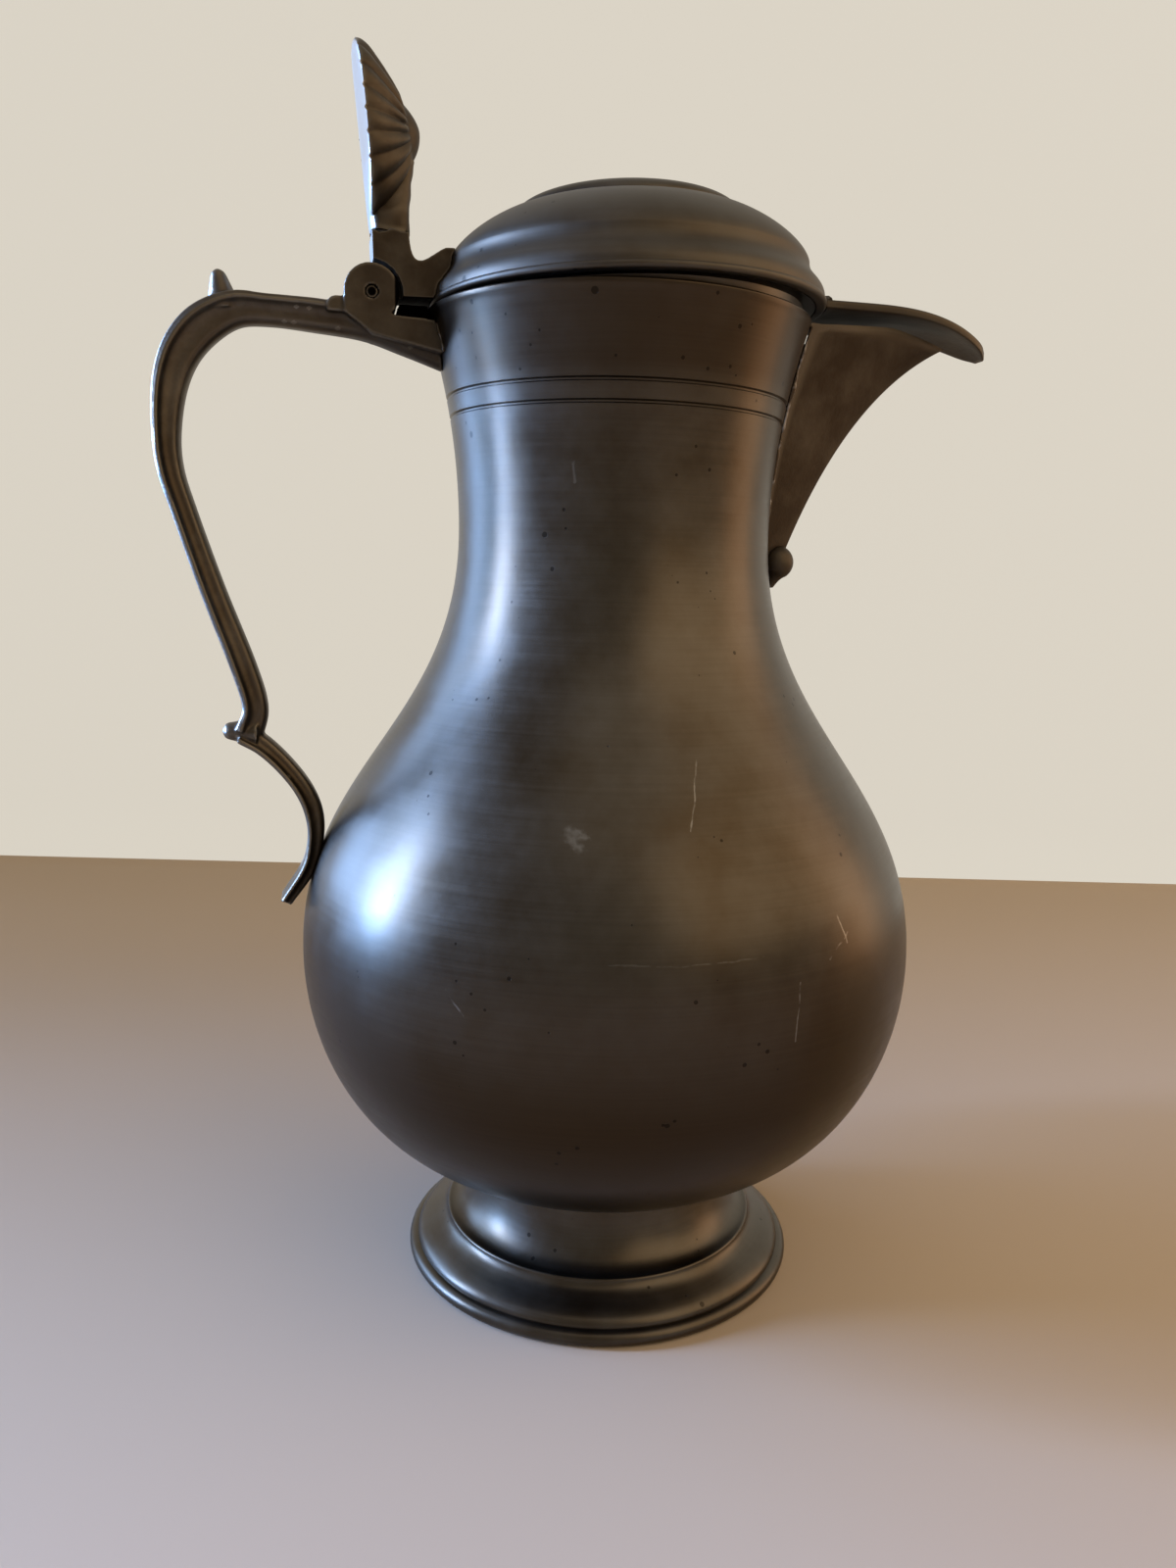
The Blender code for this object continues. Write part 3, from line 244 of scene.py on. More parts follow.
class FlagonShellSizes(bpy.types.PropertyGroup):
    """Sizes of the ribbed shell thumbpiece."""
    boss_height: length("Boss height", 0.0330, "Height of the boss above the hinge pin")
    top: length("Top", 0.0163, "Reach of the shell above the boss")
    bottom: length("Bottom", 0.0190, "Reach of the shell below the boss")
    half_width: length("Half width", 0.0125, "Half width of the shell")
    depth: length("Depth", 0.0090, "Depth of the ribbed front")
    edge: length("Edge", 0.0010, "Thickness of the rim")
    back_camber: length("Back camber", 0.0009, "Bulge of the plain back")
    forward: length("Forward", 0.0013, "Distance of the rim's plane from the pin at the crack")
    lean: length("Lean", 0.0014, "How far the rim's plane leans back between the crack and the boss")
    boss_rise: length("Boss rise", 0.0015, "Height of the boss")
    rib_depth: length("Rib depth", 0.00038, "Height of the ribs above and below the shell")
    ribs: bpy.props.IntProperty(
        name="Ribs", description="Ribs round the whole shell", default=19, min=3, max=60,
    )


class FlagonFinish(bpy.types.PropertyGroup):
    """Colours of the old pewter."""
    turned_dark: tint("Turned, brown", "#483f33", "Brown oxide on the turned pieces")
    turned_grey: tint("Turned, grey", "#5c574f", "Greyer metal where hands have rubbed it")
    # Partly painted light: low on the belly this darker brown is oxide together with a painted reflection of
    # a brown floor, and on the collar it is painted shade
    oxide: tint("Turned, oxide, painted reflection and shade", "#3a2e20", "Oxide with a painted floor reflection low on the belly, and painted shade on the collar")
    cast_dark: tint("Cast, brown", "#4a4034", "Brown oxide on the cast pieces")
    cast_grey: tint("Cast, grey", "#756c5e", "Greyer metal on the cast pieces' edges")
    # Bare metal in scratches and where hands rub it; on the backs of the handle, lever and thumbpiece it is
    # also a painted highlight of the window light
    rubbed: tint("Rubbed", "#b5b4b0", "Bare metal where thumbs and hands keep it bright, and a painted highlight on the cast pieces' backs")
    # Near-black, partly painted shade: it darkens the hinge's gaps, the pin's hole and end and the lever's
    # underside, besides old grease and soot and a fixed darkening of some cast pieces
    grime_and_shade: tint("Grime", "#0b0908", "Old grease and soot, and painted shade in the hinge's gaps and holes")
    solder: tint("Solder", "#8d8a86", "Bare solder")
    floor: tint("Floor", "#cbb9a3", "Plain pale floor")
    wall: tint("Backdrop", "#e2dccf", "Plain pale backdrop")


SIZE_GROUPS = {
    "flagon_foot": FlagonFootSizes,
    "flagon_body": FlagonBodySizes,
    "flagon_spout": FlagonSpoutSizes,
    "flagon_handle": FlagonHandleSizes,
    "flagon_lid": FlagonLidSizes,
    "flagon_shell": FlagonShellSizes,
    "flagon_finish": FlagonFinish,
}


# Curves

def arc(centre, radii, start, end, steps):
    """Points of an ellipse's arc between two angles in degrees."""
    angles = [math.radians(start + (end - start) * i / steps) for i in range(steps + 1)]
    return [(centre[0] + radii[0] * math.cos(a), centre[1] + radii[1] * math.sin(a)) for a in angles]


def bezier(controls, steps):
    """Points along a Bezier curve of any degree."""
    degree = len(controls) - 1
    points = []
    for i in range(steps + 1):
        t = i / steps
        weights = [math.comb(degree, k) * t**k * (1 - t) ** (degree - k) for k in range(degree + 1)]
        points.append(tuple(sum(w * c[axis] for w, c in zip(weights, controls)) for axis in (0, 1)))
    return points


def inset(points, distance):
    """Shift an open outline sideways, to the left of its own direction."""
    shifted = []
    for i, (x, y) in enumerate(points):
        before = Vector(points[max(i - 1, 0)])
        along = (Vector(points[min(i + 1, len(points) - 1)]) - before).normalized()
        shifted.append((x - along.y * distance, y + along.x * distance))
    return shifted


def smooth_through(values, steps):
    """Values between given ones on a curve that passes through each of them."""
    padded = [2 * values[0] - values[1], *values, 2 * values[-1] - values[-2]]
    result = []
    for i in range(1, len(padded) - 2):
        a, b, c, d = padded[i - 1:i + 3]
        for k in range(steps):
            t = k / steps
            slope = (c - a) + t * (2 * a - 5 * b + 4 * c - d + t * (3 * b - a - 3 * c + d))
            result.append(b + t * slope / 2)
    result.append(values[-1])
    return result


# Nodes

def node(tree, kind, sockets=None, **settings):
    """Add a node, set its properties, and feed its sockets from values, from outputs or from whole nodes."""
    made = tree.nodes.new(kind)
    for name, value in settings.items():
        setattr(made, name, value)
    for key, value in (sockets or {}).items():
        if isinstance(value, bpy.types.Node):
            value = value.outputs[0]
        if isinstance(value, bpy.types.NodeSocket):
            tree.links.new(value, made.inputs[key])
        else:
            made.inputs[key].default_value = value
    return made


def new_tree(name, inputs):
    """An empty geometry tree with named inputs of (name, socket type, default)."""
    tree = bpy.data.node_groups.new(name, "GeometryNodeTree")
    tree.interface.new_socket("Geometry", in_out="INPUT", socket_type="NodeSocketGeometry")
    tree.interface.new_socket("Geometry", in_out="OUTPUT", socket_type="NodeSocketGeometry")
    for label, kind, default in inputs:
        socket = tree.interface.new_socket(label, in_out="INPUT", socket_type=kind)
        if default is not None:
            socket.default_value = default
    return tree


def close_tree(tree, geometry, material):
    """End a geometry tree in real geometry with its material."""
    real = node(tree, "GeometryNodeRealizeInstances", {0: geometry})
    finished = node(tree, "GeometryNodeSetMaterial", {0: real, "Material": material})
    node(tree, "NodeGroupOutput", {0: finished})


def turned_tree():
    """Tree that turns a profile round the axis, as a lathe does."""
    tree = new_tree("Turned piece", [
        ("Sides", "NodeSocketInt", 160),
        ("Hub", "NodeSocketFloat", HUB),
        ("Material", "NodeSocketMaterial", None),
    ])
    given = node(tree, "NodeGroupInput")
    profile = node(tree, "GeometryNodeMeshToCurve", {0: given.outputs["Geometry"]})
    path = node(tree, "GeometryNodeCurvePrimitiveCircle", {
        "Resolution": given.outputs["Sides"], "Radius": given.outputs["Hub"],
    })
    skin = node(tree, "GeometryNodeCurveToMesh", {"Curve": path, "Profile Curve": profile})
    merged = node(tree, "GeometryNodeMergeByDistance", {0: skin, "Distance": WELD})
    close_tree(tree, merged, given.outputs["Material"])
    return tree


def ribbed_tree():
    """Tree that raises ribs on a shell, from the angle and the fade that each of its points carries."""
    tree = new_tree("Shell ribs", [
        ("Ribs", "NodeSocketInt", 19),
        ("Rib depth", "NodeSocketFloat", 0.0005),
        ("Grain", "NodeSocketFloat", 0.0001),
        ("Material", "NodeSocketMaterial", None),
    ])
    given = node(tree, "NodeGroupInput")
    angle = node(tree, "GeometryNodeInputNamedAttribute", {"Name": "shell_angle"}, data_type="FLOAT")
    fade = node(tree, "GeometryNodeInputNamedAttribute", {"Name": "shell_fade"}, data_type="FLOAT")
    turns = node(tree, "ShaderNodeMath", {0: angle, 1: given.outputs["Ribs"]}, operation="MULTIPLY")
    wave = node(tree, "ShaderNodeMath", {0: turns}, operation="COSINE")
    # A cast rib is broad and the groove beside it is narrow, so the wave is pushed up before it is used
    lifted = node(tree, "ShaderNodeMath", {0: wave, 1: 1.0}, operation="ADD")
    halved = node(tree, "ShaderNodeMath", {0: lifted, 1: 0.5}, operation="MULTIPLY")
    broad = node(tree, "ShaderNodeMath", {0: halved, 1: 0.6}, operation="POWER")
    centred = node(tree, "ShaderNodeMath", {0: broad, 1: 2.0, 2: -1.0}, operation="MULTIPLY_ADD")
    depth = node(tree, "ShaderNodeMath", {0: centred, 1: given.outputs["Rib depth"]}, operation="MULTIPLY")
    rough = node(tree, "ShaderNodeTexNoise", {"Scale": 900.0, "Detail": 2.0}, noise_dimensions="3D")
    grain = node(tree, "ShaderNodeMath", {0: rough, 1: given.outputs["Grain"], 2: depth},
                 operation="MULTIPLY_ADD")
    faded = node(tree, "ShaderNodeMath", {0: grain, 1: fade}, operation="MULTIPLY")
    offset = node(tree, "ShaderNodeCombineXYZ", {"X": faded})
    raised = node(tree, "GeometryNodeSetPosition", {0: given.outputs["Geometry"], "Offset": offset})
    close_tree(tree, raised, given.outputs["Material"])
    return tree


def seam_tree():
    """Tree that lays an uneven bead of solder along a seam."""
    tree = new_tree("Solder seam", [
        ("Bead radius", "NodeSocketFloat", 0.0004),
        ("Lumps per metre", "NodeSocketFloat", 420.0),
        ("Seed", "NodeSocketFloat", 3.0),
        ("Material", "NodeSocketMaterial", None),
    ])
    given = node(tree, "NodeGroupInput")
    seam = node(tree, "GeometryNodeMeshToCurve", {0: given.outputs["Geometry"]})
    fine = node(tree, "GeometryNodeResampleCurve", {"Curve": seam, "Length": 0.0005}, mode="LENGTH")
    lumps = node(tree, "ShaderNodeTexNoise", {
        "Scale": given.outputs["Lumps per metre"], "W": given.outputs["Seed"], "Detail": 3.0,
    }, noise_dimensions="4D")
    sized = node(tree, "ShaderNodeMapRange", {
        "Value": lumps, "From Min": 0.35, "From Max": 0.70, "To Min": 0.35, "To Max": 1.9,
    })
    radius = node(tree, "ShaderNodeMath", {0: sized, 1: given.outputs["Bead radius"]}, operation="MULTIPLY")
    beaded = node(tree, "GeometryNodeSetCurveRadius", {"Curve": fine, "Radius": radius})
    ring = node(tree, "GeometryNodeCurvePrimitiveCircle", {"Resolution": 10, "Radius": 1.0})
    tube = node(tree, "GeometryNodeCurveToMesh", {
        "Curve": beaded, "Profile Curve": ring, "Scale": radius, "Fill Caps": True,
    })
    close_tree(tree, tube, given.outputs["Material"])
    return tree


def placed(name, data):
    """An object for a mesh, a lamp or a camera, put into the scene."""
    obj = bpy.data.objects.new(name, data)
    bpy.context.scene.collection.objects.link(obj)
    return obj


def grown(mesh, tree, values):
    """The plain mesh that a geometry tree makes of a mesh."""
    maker = placed("maker", mesh)
    modifier = maker.modifiers.new("Nodes", "NODES")
    modifier.node_group = tree
    for item in tree.interface.items_tree:
        if item.in_out == "INPUT" and item.name in values:
            modifier[item.identifier] = values[item.name]
    return taken(maker)


def taken(maker):
    """The evaluated mesh of a helper object, which is then removed."""
    result = bpy.data.meshes.new_from_object(maker.evaluated_get(bpy.context.evaluated_depsgraph_get()))
    bpy.data.objects.remove(maker, do_unlink=True)
    return result


# Meshes

def as_mesh(bm):
    """A mesh from a bmesh, with its doubles merged and its faces outwards."""
    bmesh.ops.remove_doubles(bm, verts=bm.verts, dist=WELD)
    bmesh.ops.recalc_face_normals(bm, faces=bm.faces)
    mesh = bpy.data.meshes.new("part")
    bm.to_mesh(mesh)
    bm.free()
    return mesh


def angles_round(count):
    """Evenly spaced angles of a whole turn."""
    return [math.tau * k / count for k in range(count)]


def turned(outline, material=None, sides=160):
    """Turn an outline of (radius, height) points, closed unless it starts and ends on the axis."""
    points = [(radius - HUB, -height, 0.0) for radius, height in outline]
    edges = [(i, i + 1) for i in range(len(points) - 1)]
    if outline[0][0] > 0.0 or outline[-1][0] > 0.0:
        edges.append((len(points) - 1, 0))
    profile = bpy.data.meshes.new("profile")
    profile.from_pydata(points, edges, [])
    tree = bpy.data.node_groups.get("Turned piece") or turned_tree()
    mesh = grown(profile, tree, {"Sides": sides, "Hub": HUB, "Material": material})
    bm = bmesh.new()
    bm.from_mesh(mesh)
    return as_mesh(bm)


def lofted(sections):
    """Skin sections of equal point count and cap both ends."""
    bm = bmesh.new()
    rings = [[bm.verts.new(point) for point in section] for section in sections]
    for lower, upper in zip(rings, rings[1:]):
        for i, vert in enumerate(lower):
            j = (i + 1) % len(lower)
            bm.faces.new((vert, lower[j], upper[j], upper[i]))
    bm.faces.new(rings[0])
    bm.faces.new(rings[-1])
    bm.normal_update()
    bmesh.ops.triangulate(bm, faces=[face for face in bm.faces if len(face.verts) > 4])
    return as_mesh(bm)


def plate(outline, half_width):
    """A flat piece with an (x, z) outline, the same on both sides of Y = 0."""
    return lofted([[(x, y, z) for x, z in outline] for y in (-half_width, half_width)])


def bar(steps, sides=48):
    """A stepped round bar along Y from (radius, y) pairs."""
    return lofted([[(r * math.cos(a), y, r * math.sin(a)) for a in angles_round(sides)] for r, y in steps])


def moved(mesh, matrix):
    """The mesh itself, moved."""
    mesh.transform(matrix)
    return mesh


def combined(mesh, tools):
    """Join or cut meshes with (operation, mesh) pairs and give the plain result."""
    maker = placed("maker", mesh)
    helpers = []
    for operation, tool in tools:
        helper = placed("helper", tool)
        helpers.append(helper)
        modifier = maker.modifiers.new(operation, "BOOLEAN")
        modifier.object = helper
        modifier.operation = operation
        modifier.solver = "EXACT"
    result = taken(maker)
    for helper in helpers:
        bpy.data.objects.remove(helper, do_unlink=True)
    return result


def softened(mesh, voxel, rounds):
    """A casting's soft version of a sharp mesh: even small faces, with its corners eased."""
    maker = placed("maker", mesh)
    remesh = maker.modifiers.new("Remesh", "REMESH")
    remesh.mode = "VOXEL"
    remesh.voxel_size = voxel
    ease = maker.modifiers.new("Ease", "SMOOTH")
    ease.factor = 0.5
    ease.iterations = rounds
    return taken(maker)


def mark(mesh, name, rule):
    """Give each vertex a share from 0 to 1 that its metal reads, worked out from its place and its normal."""
    layer = mesh.attributes.new(name, "FLOAT", "POINT")
    shares = [min(max(rule(vert.co, vert.normal), 0.0), 1.0) for vert in mesh.vertices]
    layer.data.foreach_set("value", shares)


def piece(name, mesh, metal_name, body, nodes=(), angle=40.0):
    """Name a finished piece, give it its metal, tie it to its body and hide the solids it stands for."""
    mesh.name = name
    mesh.materials.clear()
    mesh.materials.append(metal(metal_name))
    mesh.shade_smooth()
    mesh.set_sharp_from_angle(angle=math.radians(angle))
    obj = placed(name, mesh)
    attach(obj, body)
    if nodes:
        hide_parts(*nodes)


def solder(name, runs, body, sizes, to_place=None):
    """Lay a bead of solder along each run of points, with sizes for the inputs of its tree."""
    points = [tuple(point) for run in runs for point in run]
    ends = {sum(len(run) for run in runs[:i + 1]) - 1 for i in range(len(runs))}
    seam = bpy.data.meshes.new("seam")
    seam.from_pydata(points, [(i, i + 1) for i in range(len(points)) if i not in ends], [])
    tree = bpy.data.node_groups.get("Solder seam") or seam_tree()
    bead = grown(seam, tree, {**sizes, "Material": metal(SOLDER)})
    piece(name, to_place(bead) if to_place else bead, SOLDER, body)


# Materials

def surface_height(tree, parts):
    """Add up (height output, depth in metres) pairs into one bumped normal."""
    normal = None
    for height, depth in parts:
        sockets = {"Height": height, "Distance": depth, "Strength": 1.0}
        if normal is not None:
            sockets["Normal"] = normal
        normal = node(tree, "ShaderNodeBump", sockets)
    return normal


def scuffed(tree, place, ragged):
    """Share of bare metal in the body's own marks: each is a stroke whose edge is ragged."""
    # Strokes waver by half a millimetre, and fade in and out every few millimetres
    waver = node(tree, "ShaderNodeTexNoise", {"Vector": place, "Scale": 110.0, "Detail": 2.0})
    shift = node(tree, "ShaderNodeVectorMath", {
        0: waver.outputs["Color"], 1: (0.0022,) * 3, 2: (-0.0011,) * 3,
    }, operation="MULTIPLY_ADD")
    wavered = node(tree, "ShaderNodeVectorMath", {0: place, 1: shift}, operation="ADD")
    gaps = node(tree, "ShaderNodeTexNoise", {"Vector": place, "Scale": 420.0, "Detail": 2.0})
    broken = node(tree, "ShaderNodeMapRange", {"Value": gaps, "From Min": 0.40, "From Max": 0.60})
    total = None
    for start, end, half_width, strength in BODY_MARKS:
        start, end = Vector(start), Vector(end)
        along_way = (end - start).normalized()
        outward = Vector((start.x + end.x, start.y + end.y, 0.0)).normalized()
        across_way = outward.cross(along_way).normalized()
        offset = node(tree, "ShaderNodeVectorMath", {0: wavered, 1: start}, operation="SUBTRACT")
        along, across, out = (
            node(tree, "ShaderNodeVectorMath", {0: offset, 1: way}, operation="DOT_PRODUCT").outputs["Value"]
            for way in (along_way, across_way, outward)
        )
        within = node(tree, "ShaderNodeClamp", {"Value": along, "Max": (end - start).length})
        past = node(tree, "ShaderNodeMath", {0: along, 1: within}, operation="SUBTRACT")
        flat = node(tree, "ShaderNodeCombineXYZ", {"X": past, "Y": across})
        apart = node(tree, "ShaderNodeVectorMath", {0: flat}, operation="LENGTH").outputs["Value"]
        rough = node(tree, "ShaderNodeMath", {0: ragged, 1: 1.6 * half_width, 2: apart},
                     operation="MULTIPLY_ADD")
        inside = node(tree, "ShaderNodeMapRange", {
            "Value": rough, "From Min": 1.9 * half_width, "From Max": 1.3 * half_width, "To Max": strength,
        })
        # The far side of the body has no such mark
        near = node(tree, "ShaderNodeMath", {0: out, 1: -0.006}, operation="GREATER_THAN")
        inside = node(tree, "ShaderNodeMath", {0: inside, 1: near}, operation="MULTIPLY")
        if total is not None:
            inside = node(tree, "ShaderNodeMath", {0: total, 1: inside}, operation="MAXIMUM")
        total = inside
    return node(tree, "ShaderNodeMath", {0: total, 1: broken}, operation="MULTIPLY")


def new_metal(name):
    """A fully metallic material, with its tree, its shader and the output that gives a point's place."""
    material = bpy.data.materials.new(name)
    material.use_nodes = True
    tree = material.node_tree
    shader = tree.nodes["Principled BSDF"]
    shader.inputs["Metallic"].default_value = 1.0
    return material, tree, shader, node(tree, "ShaderNodeTexCoord").outputs["Object"]


def turned_pewter(finish):
    """Old pewter skimmed on a lathe: rings finer than a hair, brown oxide, and grey where it is rubbed."""
    material, tree, shader, place = new_metal(TURNED)
    # Heights in metres between which the finish changes
    foot_top, rim_top = 0.0355, 0.221
    belly_low, belly_high = 0.060, 0.100
    collar_low, collar_high = 0.200, 0.206
    split = node(tree, "ShaderNodeSeparateXYZ", {0: place})
    flat = node(tree, "ShaderNodeCombineXYZ", {"X": split.outputs["X"], "Y": split.outputs["Y"]})
    around = node(tree, "ShaderNodeVectorMath", {0: flat}, operation="NORMALIZE")
    split_around = node(tree, "ShaderNodeSeparateXYZ", {0: around})
    # The lathe's rings are about 0.2 mm apart; they are drawn 0.7 mm apart so that they show
    height = split.outputs["Z"]
    ring_place = node(tree, "ShaderNodeMath", {0: height, 1: 1 / 0.0007}, operation="MULTIPLY")
    ring_point = node(tree, "ShaderNodeCombineXYZ", {
        "X": split_around.outputs["X"], "Y": split_around.outputs["Y"], "Z": ring_place,
    })
    rings = node(tree, "ShaderNodeTexNoise", {
        "Vector": ring_point, "Scale": 1.0, "Detail": 4.0, "Roughness": 0.65,
    })
    # Clouds of oxide 45 mm across, and finger marks 10 mm across inside them
    clouds = node(tree, "ShaderNodeTexNoise", {
        "Vector": place, "Scale": 22.0, "Detail": 6.0, "Roughness": 0.55,
    })
    fingers = node(tree, "ShaderNodeTexNoise", {
        "Vector": place, "Scale": 95.0, "Detail": 5.0, "Roughness": 0.6,
    })
    blend = node(tree, "ShaderNodeMath", {0: clouds, 1: 0.65}, operation="MULTIPLY")
    blend = node(tree, "ShaderNodeMath", {0: fingers, 1: 0.35, 2: blend}, operation="MULTIPLY_ADD")
    grey_share = node(tree, "ShaderNodeMapRange", {"Value": blend, "From Min": 0.36, "From Max": 0.66})
    base = node(tree, "ShaderNodeMix", {
        "Factor": grey_share, 6: finish.turned_dark, 7: finish.turned_grey,
    }, data_type="RGBA")
    # Darker brown low on the belly is thick oxide together with a painted reflection of a brown floor; the
    # darker band on the collar is painted shade
    low = node(tree, "ShaderNodeMapRange", {"Value": height, "From Min": belly_high, "From Max": belly_low})
    high = node(tree, "ShaderNodeMapRange", {
        "Value": height, "From Min": collar_low, "From Max": collar_high, "To Max": 0.7,
    })
    below_rim = node(tree, "ShaderNodeMath", {0: height, 1: rim_top}, operation="LESS_THAN")
    above_foot = node(tree, "ShaderNodeMath", {0: height, 1: foot_top}, operation="GREATER_THAN")
    low = node(tree, "ShaderNodeMath", {0: low, 1: above_foot}, operation="MULTIPLY")
    high = node(tree, "ShaderNodeMath", {0: high, 1: below_rim}, operation="MULTIPLY")
    oxide = node(tree, "ShaderNodeMath", {0: low, 1: high}, operation="MAXIMUM")
    base = node(tree, "ShaderNodeMix", {
        "Factor": oxide, 6: base.outputs[2], 7: finish.oxide,
    }, data_type="RGBA")
    # Rings show as faint light and dark threads
    thread = node(tree, "ShaderNodeMapRange", {
        "Value": rings, "From Min": 0.30, "From Max": 0.70, "To Min": 0.93, "To Max": 1.07,
    })
    threaded = node(tree, "ShaderNodeMix", {
        "Factor": 1.0, 6: base.outputs[2], 7: thread,
    }, data_type="RGBA", blend_type="MULTIPLY")
    # Pinholes and specks, mostly under 0.4 mm in radius, in cells 4 mm apart of which many stay empty
    specks = node(tree, "ShaderNodeTexVoronoi", {"Vector": place, "Scale": 260.0, "Randomness": 1.0})
    speck_size = node(tree, "ShaderNodeTexNoise", {"Vector": place, "Scale": 60.0})
    speck_edge = node(tree, "ShaderNodeMapRange", {
        "Value": speck_size, "From Min": 0.50, "From Max": 0.75, "To Min": 0.0, "To Max": 0.20,
    })
    # The collar above the grooves is spotted more, where wine ran over the rim
    collar = node(tree, "ShaderNodeMapRange", {
        "Value": height, "From Min": 0.2035, "From Max": 0.2045, "To Max": 0.10,
    })
    speck_edge = node(tree, "ShaderNodeMath", {0: collar, 1: below_rim, 2: speck_edge},
                      operation="MULTIPLY_ADD")
    speck = node(tree, "ShaderNodeMath", {
        0: specks.outputs["Distance"], 1: speck_edge,
    }, operation="LESS_THAN")
    speck_shade = node(tree, "ShaderNodeMapRange", {"Value": speck, "To Min": 1.0, "To Max": 0.45})
    spotted = node(tree, "ShaderNodeMix", {
        "Factor": 1.0, 6: threaded.outputs[2], 7: speck_shade,
    }, data_type="RGBA", blend_type="MULTIPLY")
    ragged = node(tree, "ShaderNodeTexNoise", {"Vector": place, "Scale": 900.0, "Detail": 3.0})
    bare = scuffed(tree, place, ragged)
    worn = node(tree, "ShaderNodeMix", {
        "Factor": bare, 6: spotted.outputs[2], 7: finish.rubbed,
    }, data_type="RGBA")
    tree.links.new(worn.outputs[2], shader.inputs["Base Color"])
    gloss = node(tree, "ShaderNodeMath", {0: rings, 1: 0.10, 2: 0.215}, operation="MULTIPLY_ADD")
    gloss = node(tree, "ShaderNodeMath", {0: fingers, 1: 0.16, 2: gloss}, operation="MULTIPLY_ADD")
    # The lid is duller than the body, because hands lift it by the thumbpiece and seldom rub it
    dull = node(tree, "ShaderNodeAttribute", attribute_name="dull").outputs["Fac"]
    gloss = node(tree, "ShaderNodeMath", {0: dull, 1: 0.165, 2: gloss}, operation="MULTIPLY_ADD")
    tree.links.new(gloss.outputs[0], shader.inputs["Roughness"])
    # Shallow dents 26 mm across, and a grain of 0.7 mm that breaks up the highlights
    dents = node(tree, "ShaderNodeTexNoise", {"Vector": place, "Scale": 38.0, "Detail": 1.0})
    grain = node(tree, "ShaderNodeTexNoise", {"Vector": place, "Scale": 1500.0, "Detail": 2.0})
    normal = surface_height(tree, [
        (dents, 0.00010), (rings, 0.000006), (grain, 0.000008), (speck, -0.00002), (bare, -0.00002),
    ])
    tree.links.new(normal.outputs[0], shader.inputs["Normal"])
    return material


def cast_pewter(finish):
    """Old pewter as it left the mould and was filed: soft grain, brown in the hollows, grey on worn edges."""
    material, tree, shader, place = new_metal(CAST)
    # Clouds of oxide 14 mm across
    clouds = node(tree, "ShaderNodeTexNoise", {
        "Vector": place, "Scale": 70.0, "Detail": 6.0, "Roughness": 0.6,
    })
    edges = node(tree, "ShaderNodeNewGeometry").outputs["Pointiness"]
    worn = node(tree, "ShaderNodeMapRange", {"Value": edges, "From Min": 0.500, "From Max": 0.535})
    cloudy = node(tree, "ShaderNodeMapRange", {
        "Value": clouds, "From Min": 0.42, "From Max": 0.68, "To Max": 0.6,
    })
    share = node(tree, "ShaderNodeMath", {0: worn, 1: cloudy}, operation="MAXIMUM")
    base = node(tree, "ShaderNodeMix", {
        "Factor": share, 6: finish.cast_dark, 7: finish.cast_grey,
    }, data_type="RGBA")
    hollow = node(tree, "ShaderNodeMapRange", {
        "Value": edges, "From Min": 0.44, "From Max": 0.50, "To Min": 0.55, "To Max": 1.0,
    })
    shaded = node(tree, "ShaderNodeMix", {
        "Factor": 1.0, 6: base.outputs[2], 7: hollow,
    }, data_type="RGBA", blend_type="MULTIPLY")
    # Where hands rub it the metal is bare, with brown left in the scuffs; on the backs of the handle, lever
    # and thumbpiece this bright metal is also a painted highlight of the window light
    rubbed = node(tree, "ShaderNodeAttribute", attribute_name="rubbed").outputs["Fac"]
    scuffs = node(tree, "ShaderNodeTexNoise", {"Vector": place, "Scale": 240.0, "Detail": 4.0})
    broken = node(tree, "ShaderNodeMath", {0: scuffs, 1: 0.9, 2: rubbed}, operation="MULTIPLY_ADD")
    bare = node(tree, "ShaderNodeMapRange", {"Value": broken, "From Min": 0.85, "From Max": 1.15})
    bright = node(tree, "ShaderNodeMix", {
        "Factor": bare, 6: shaded.outputs[2], 7: finish.rubbed,
    }, data_type="RGBA")
    # Near-black mixed in by an attribute: painted shade in the hinge's gaps and holes and under the lever,
    # old grease and soot, and a fixed darkening on some pieces; these places are also made matt
    grime_and_shade = node(tree, "ShaderNodeAttribute", attribute_name="grime_and_shade").outputs["Fac"]
    grimy_and_shaded = node(tree, "ShaderNodeMix", {
        "Factor": grime_and_shade, 6: bright.outputs[2], 7: finish.grime_and_shade,
    }, data_type="RGBA")
    tree.links.new(grimy_and_shaded.outputs[2], shader.inputs["Base Color"])
    gloss = node(tree, "ShaderNodeMath", {0: clouds, 1: 0.30, 2: 0.28}, operation="MULTIPLY_ADD")
    smooth = node(tree, "ShaderNodeMix", {"Factor": bare, 2: gloss, 3: 0.30})
    matt = node(tree, "ShaderNodeMix", {"Factor": grime_and_shade, 2: smooth, 3: 0.85})
    tree.links.new(matt.outputs[0], shader.inputs["Roughness"])
    # Grain 0.7 mm across and lumps 4 mm across, as the mould left them
    grain = node(tree, "ShaderNodeTexNoise", {"Vector": place, "Scale": 1400.0, "Detail": 3.0})
    lumps = node(tree, "ShaderNodeTexNoise", {"Vector": place, "Scale": 260.0, "Detail": 3.0})
    normal = surface_height(tree, [(lumps, 0.00012), (grain, 0.00003)])
    tree.links.new(normal.outputs[0], shader.inputs["Normal"])
    return material


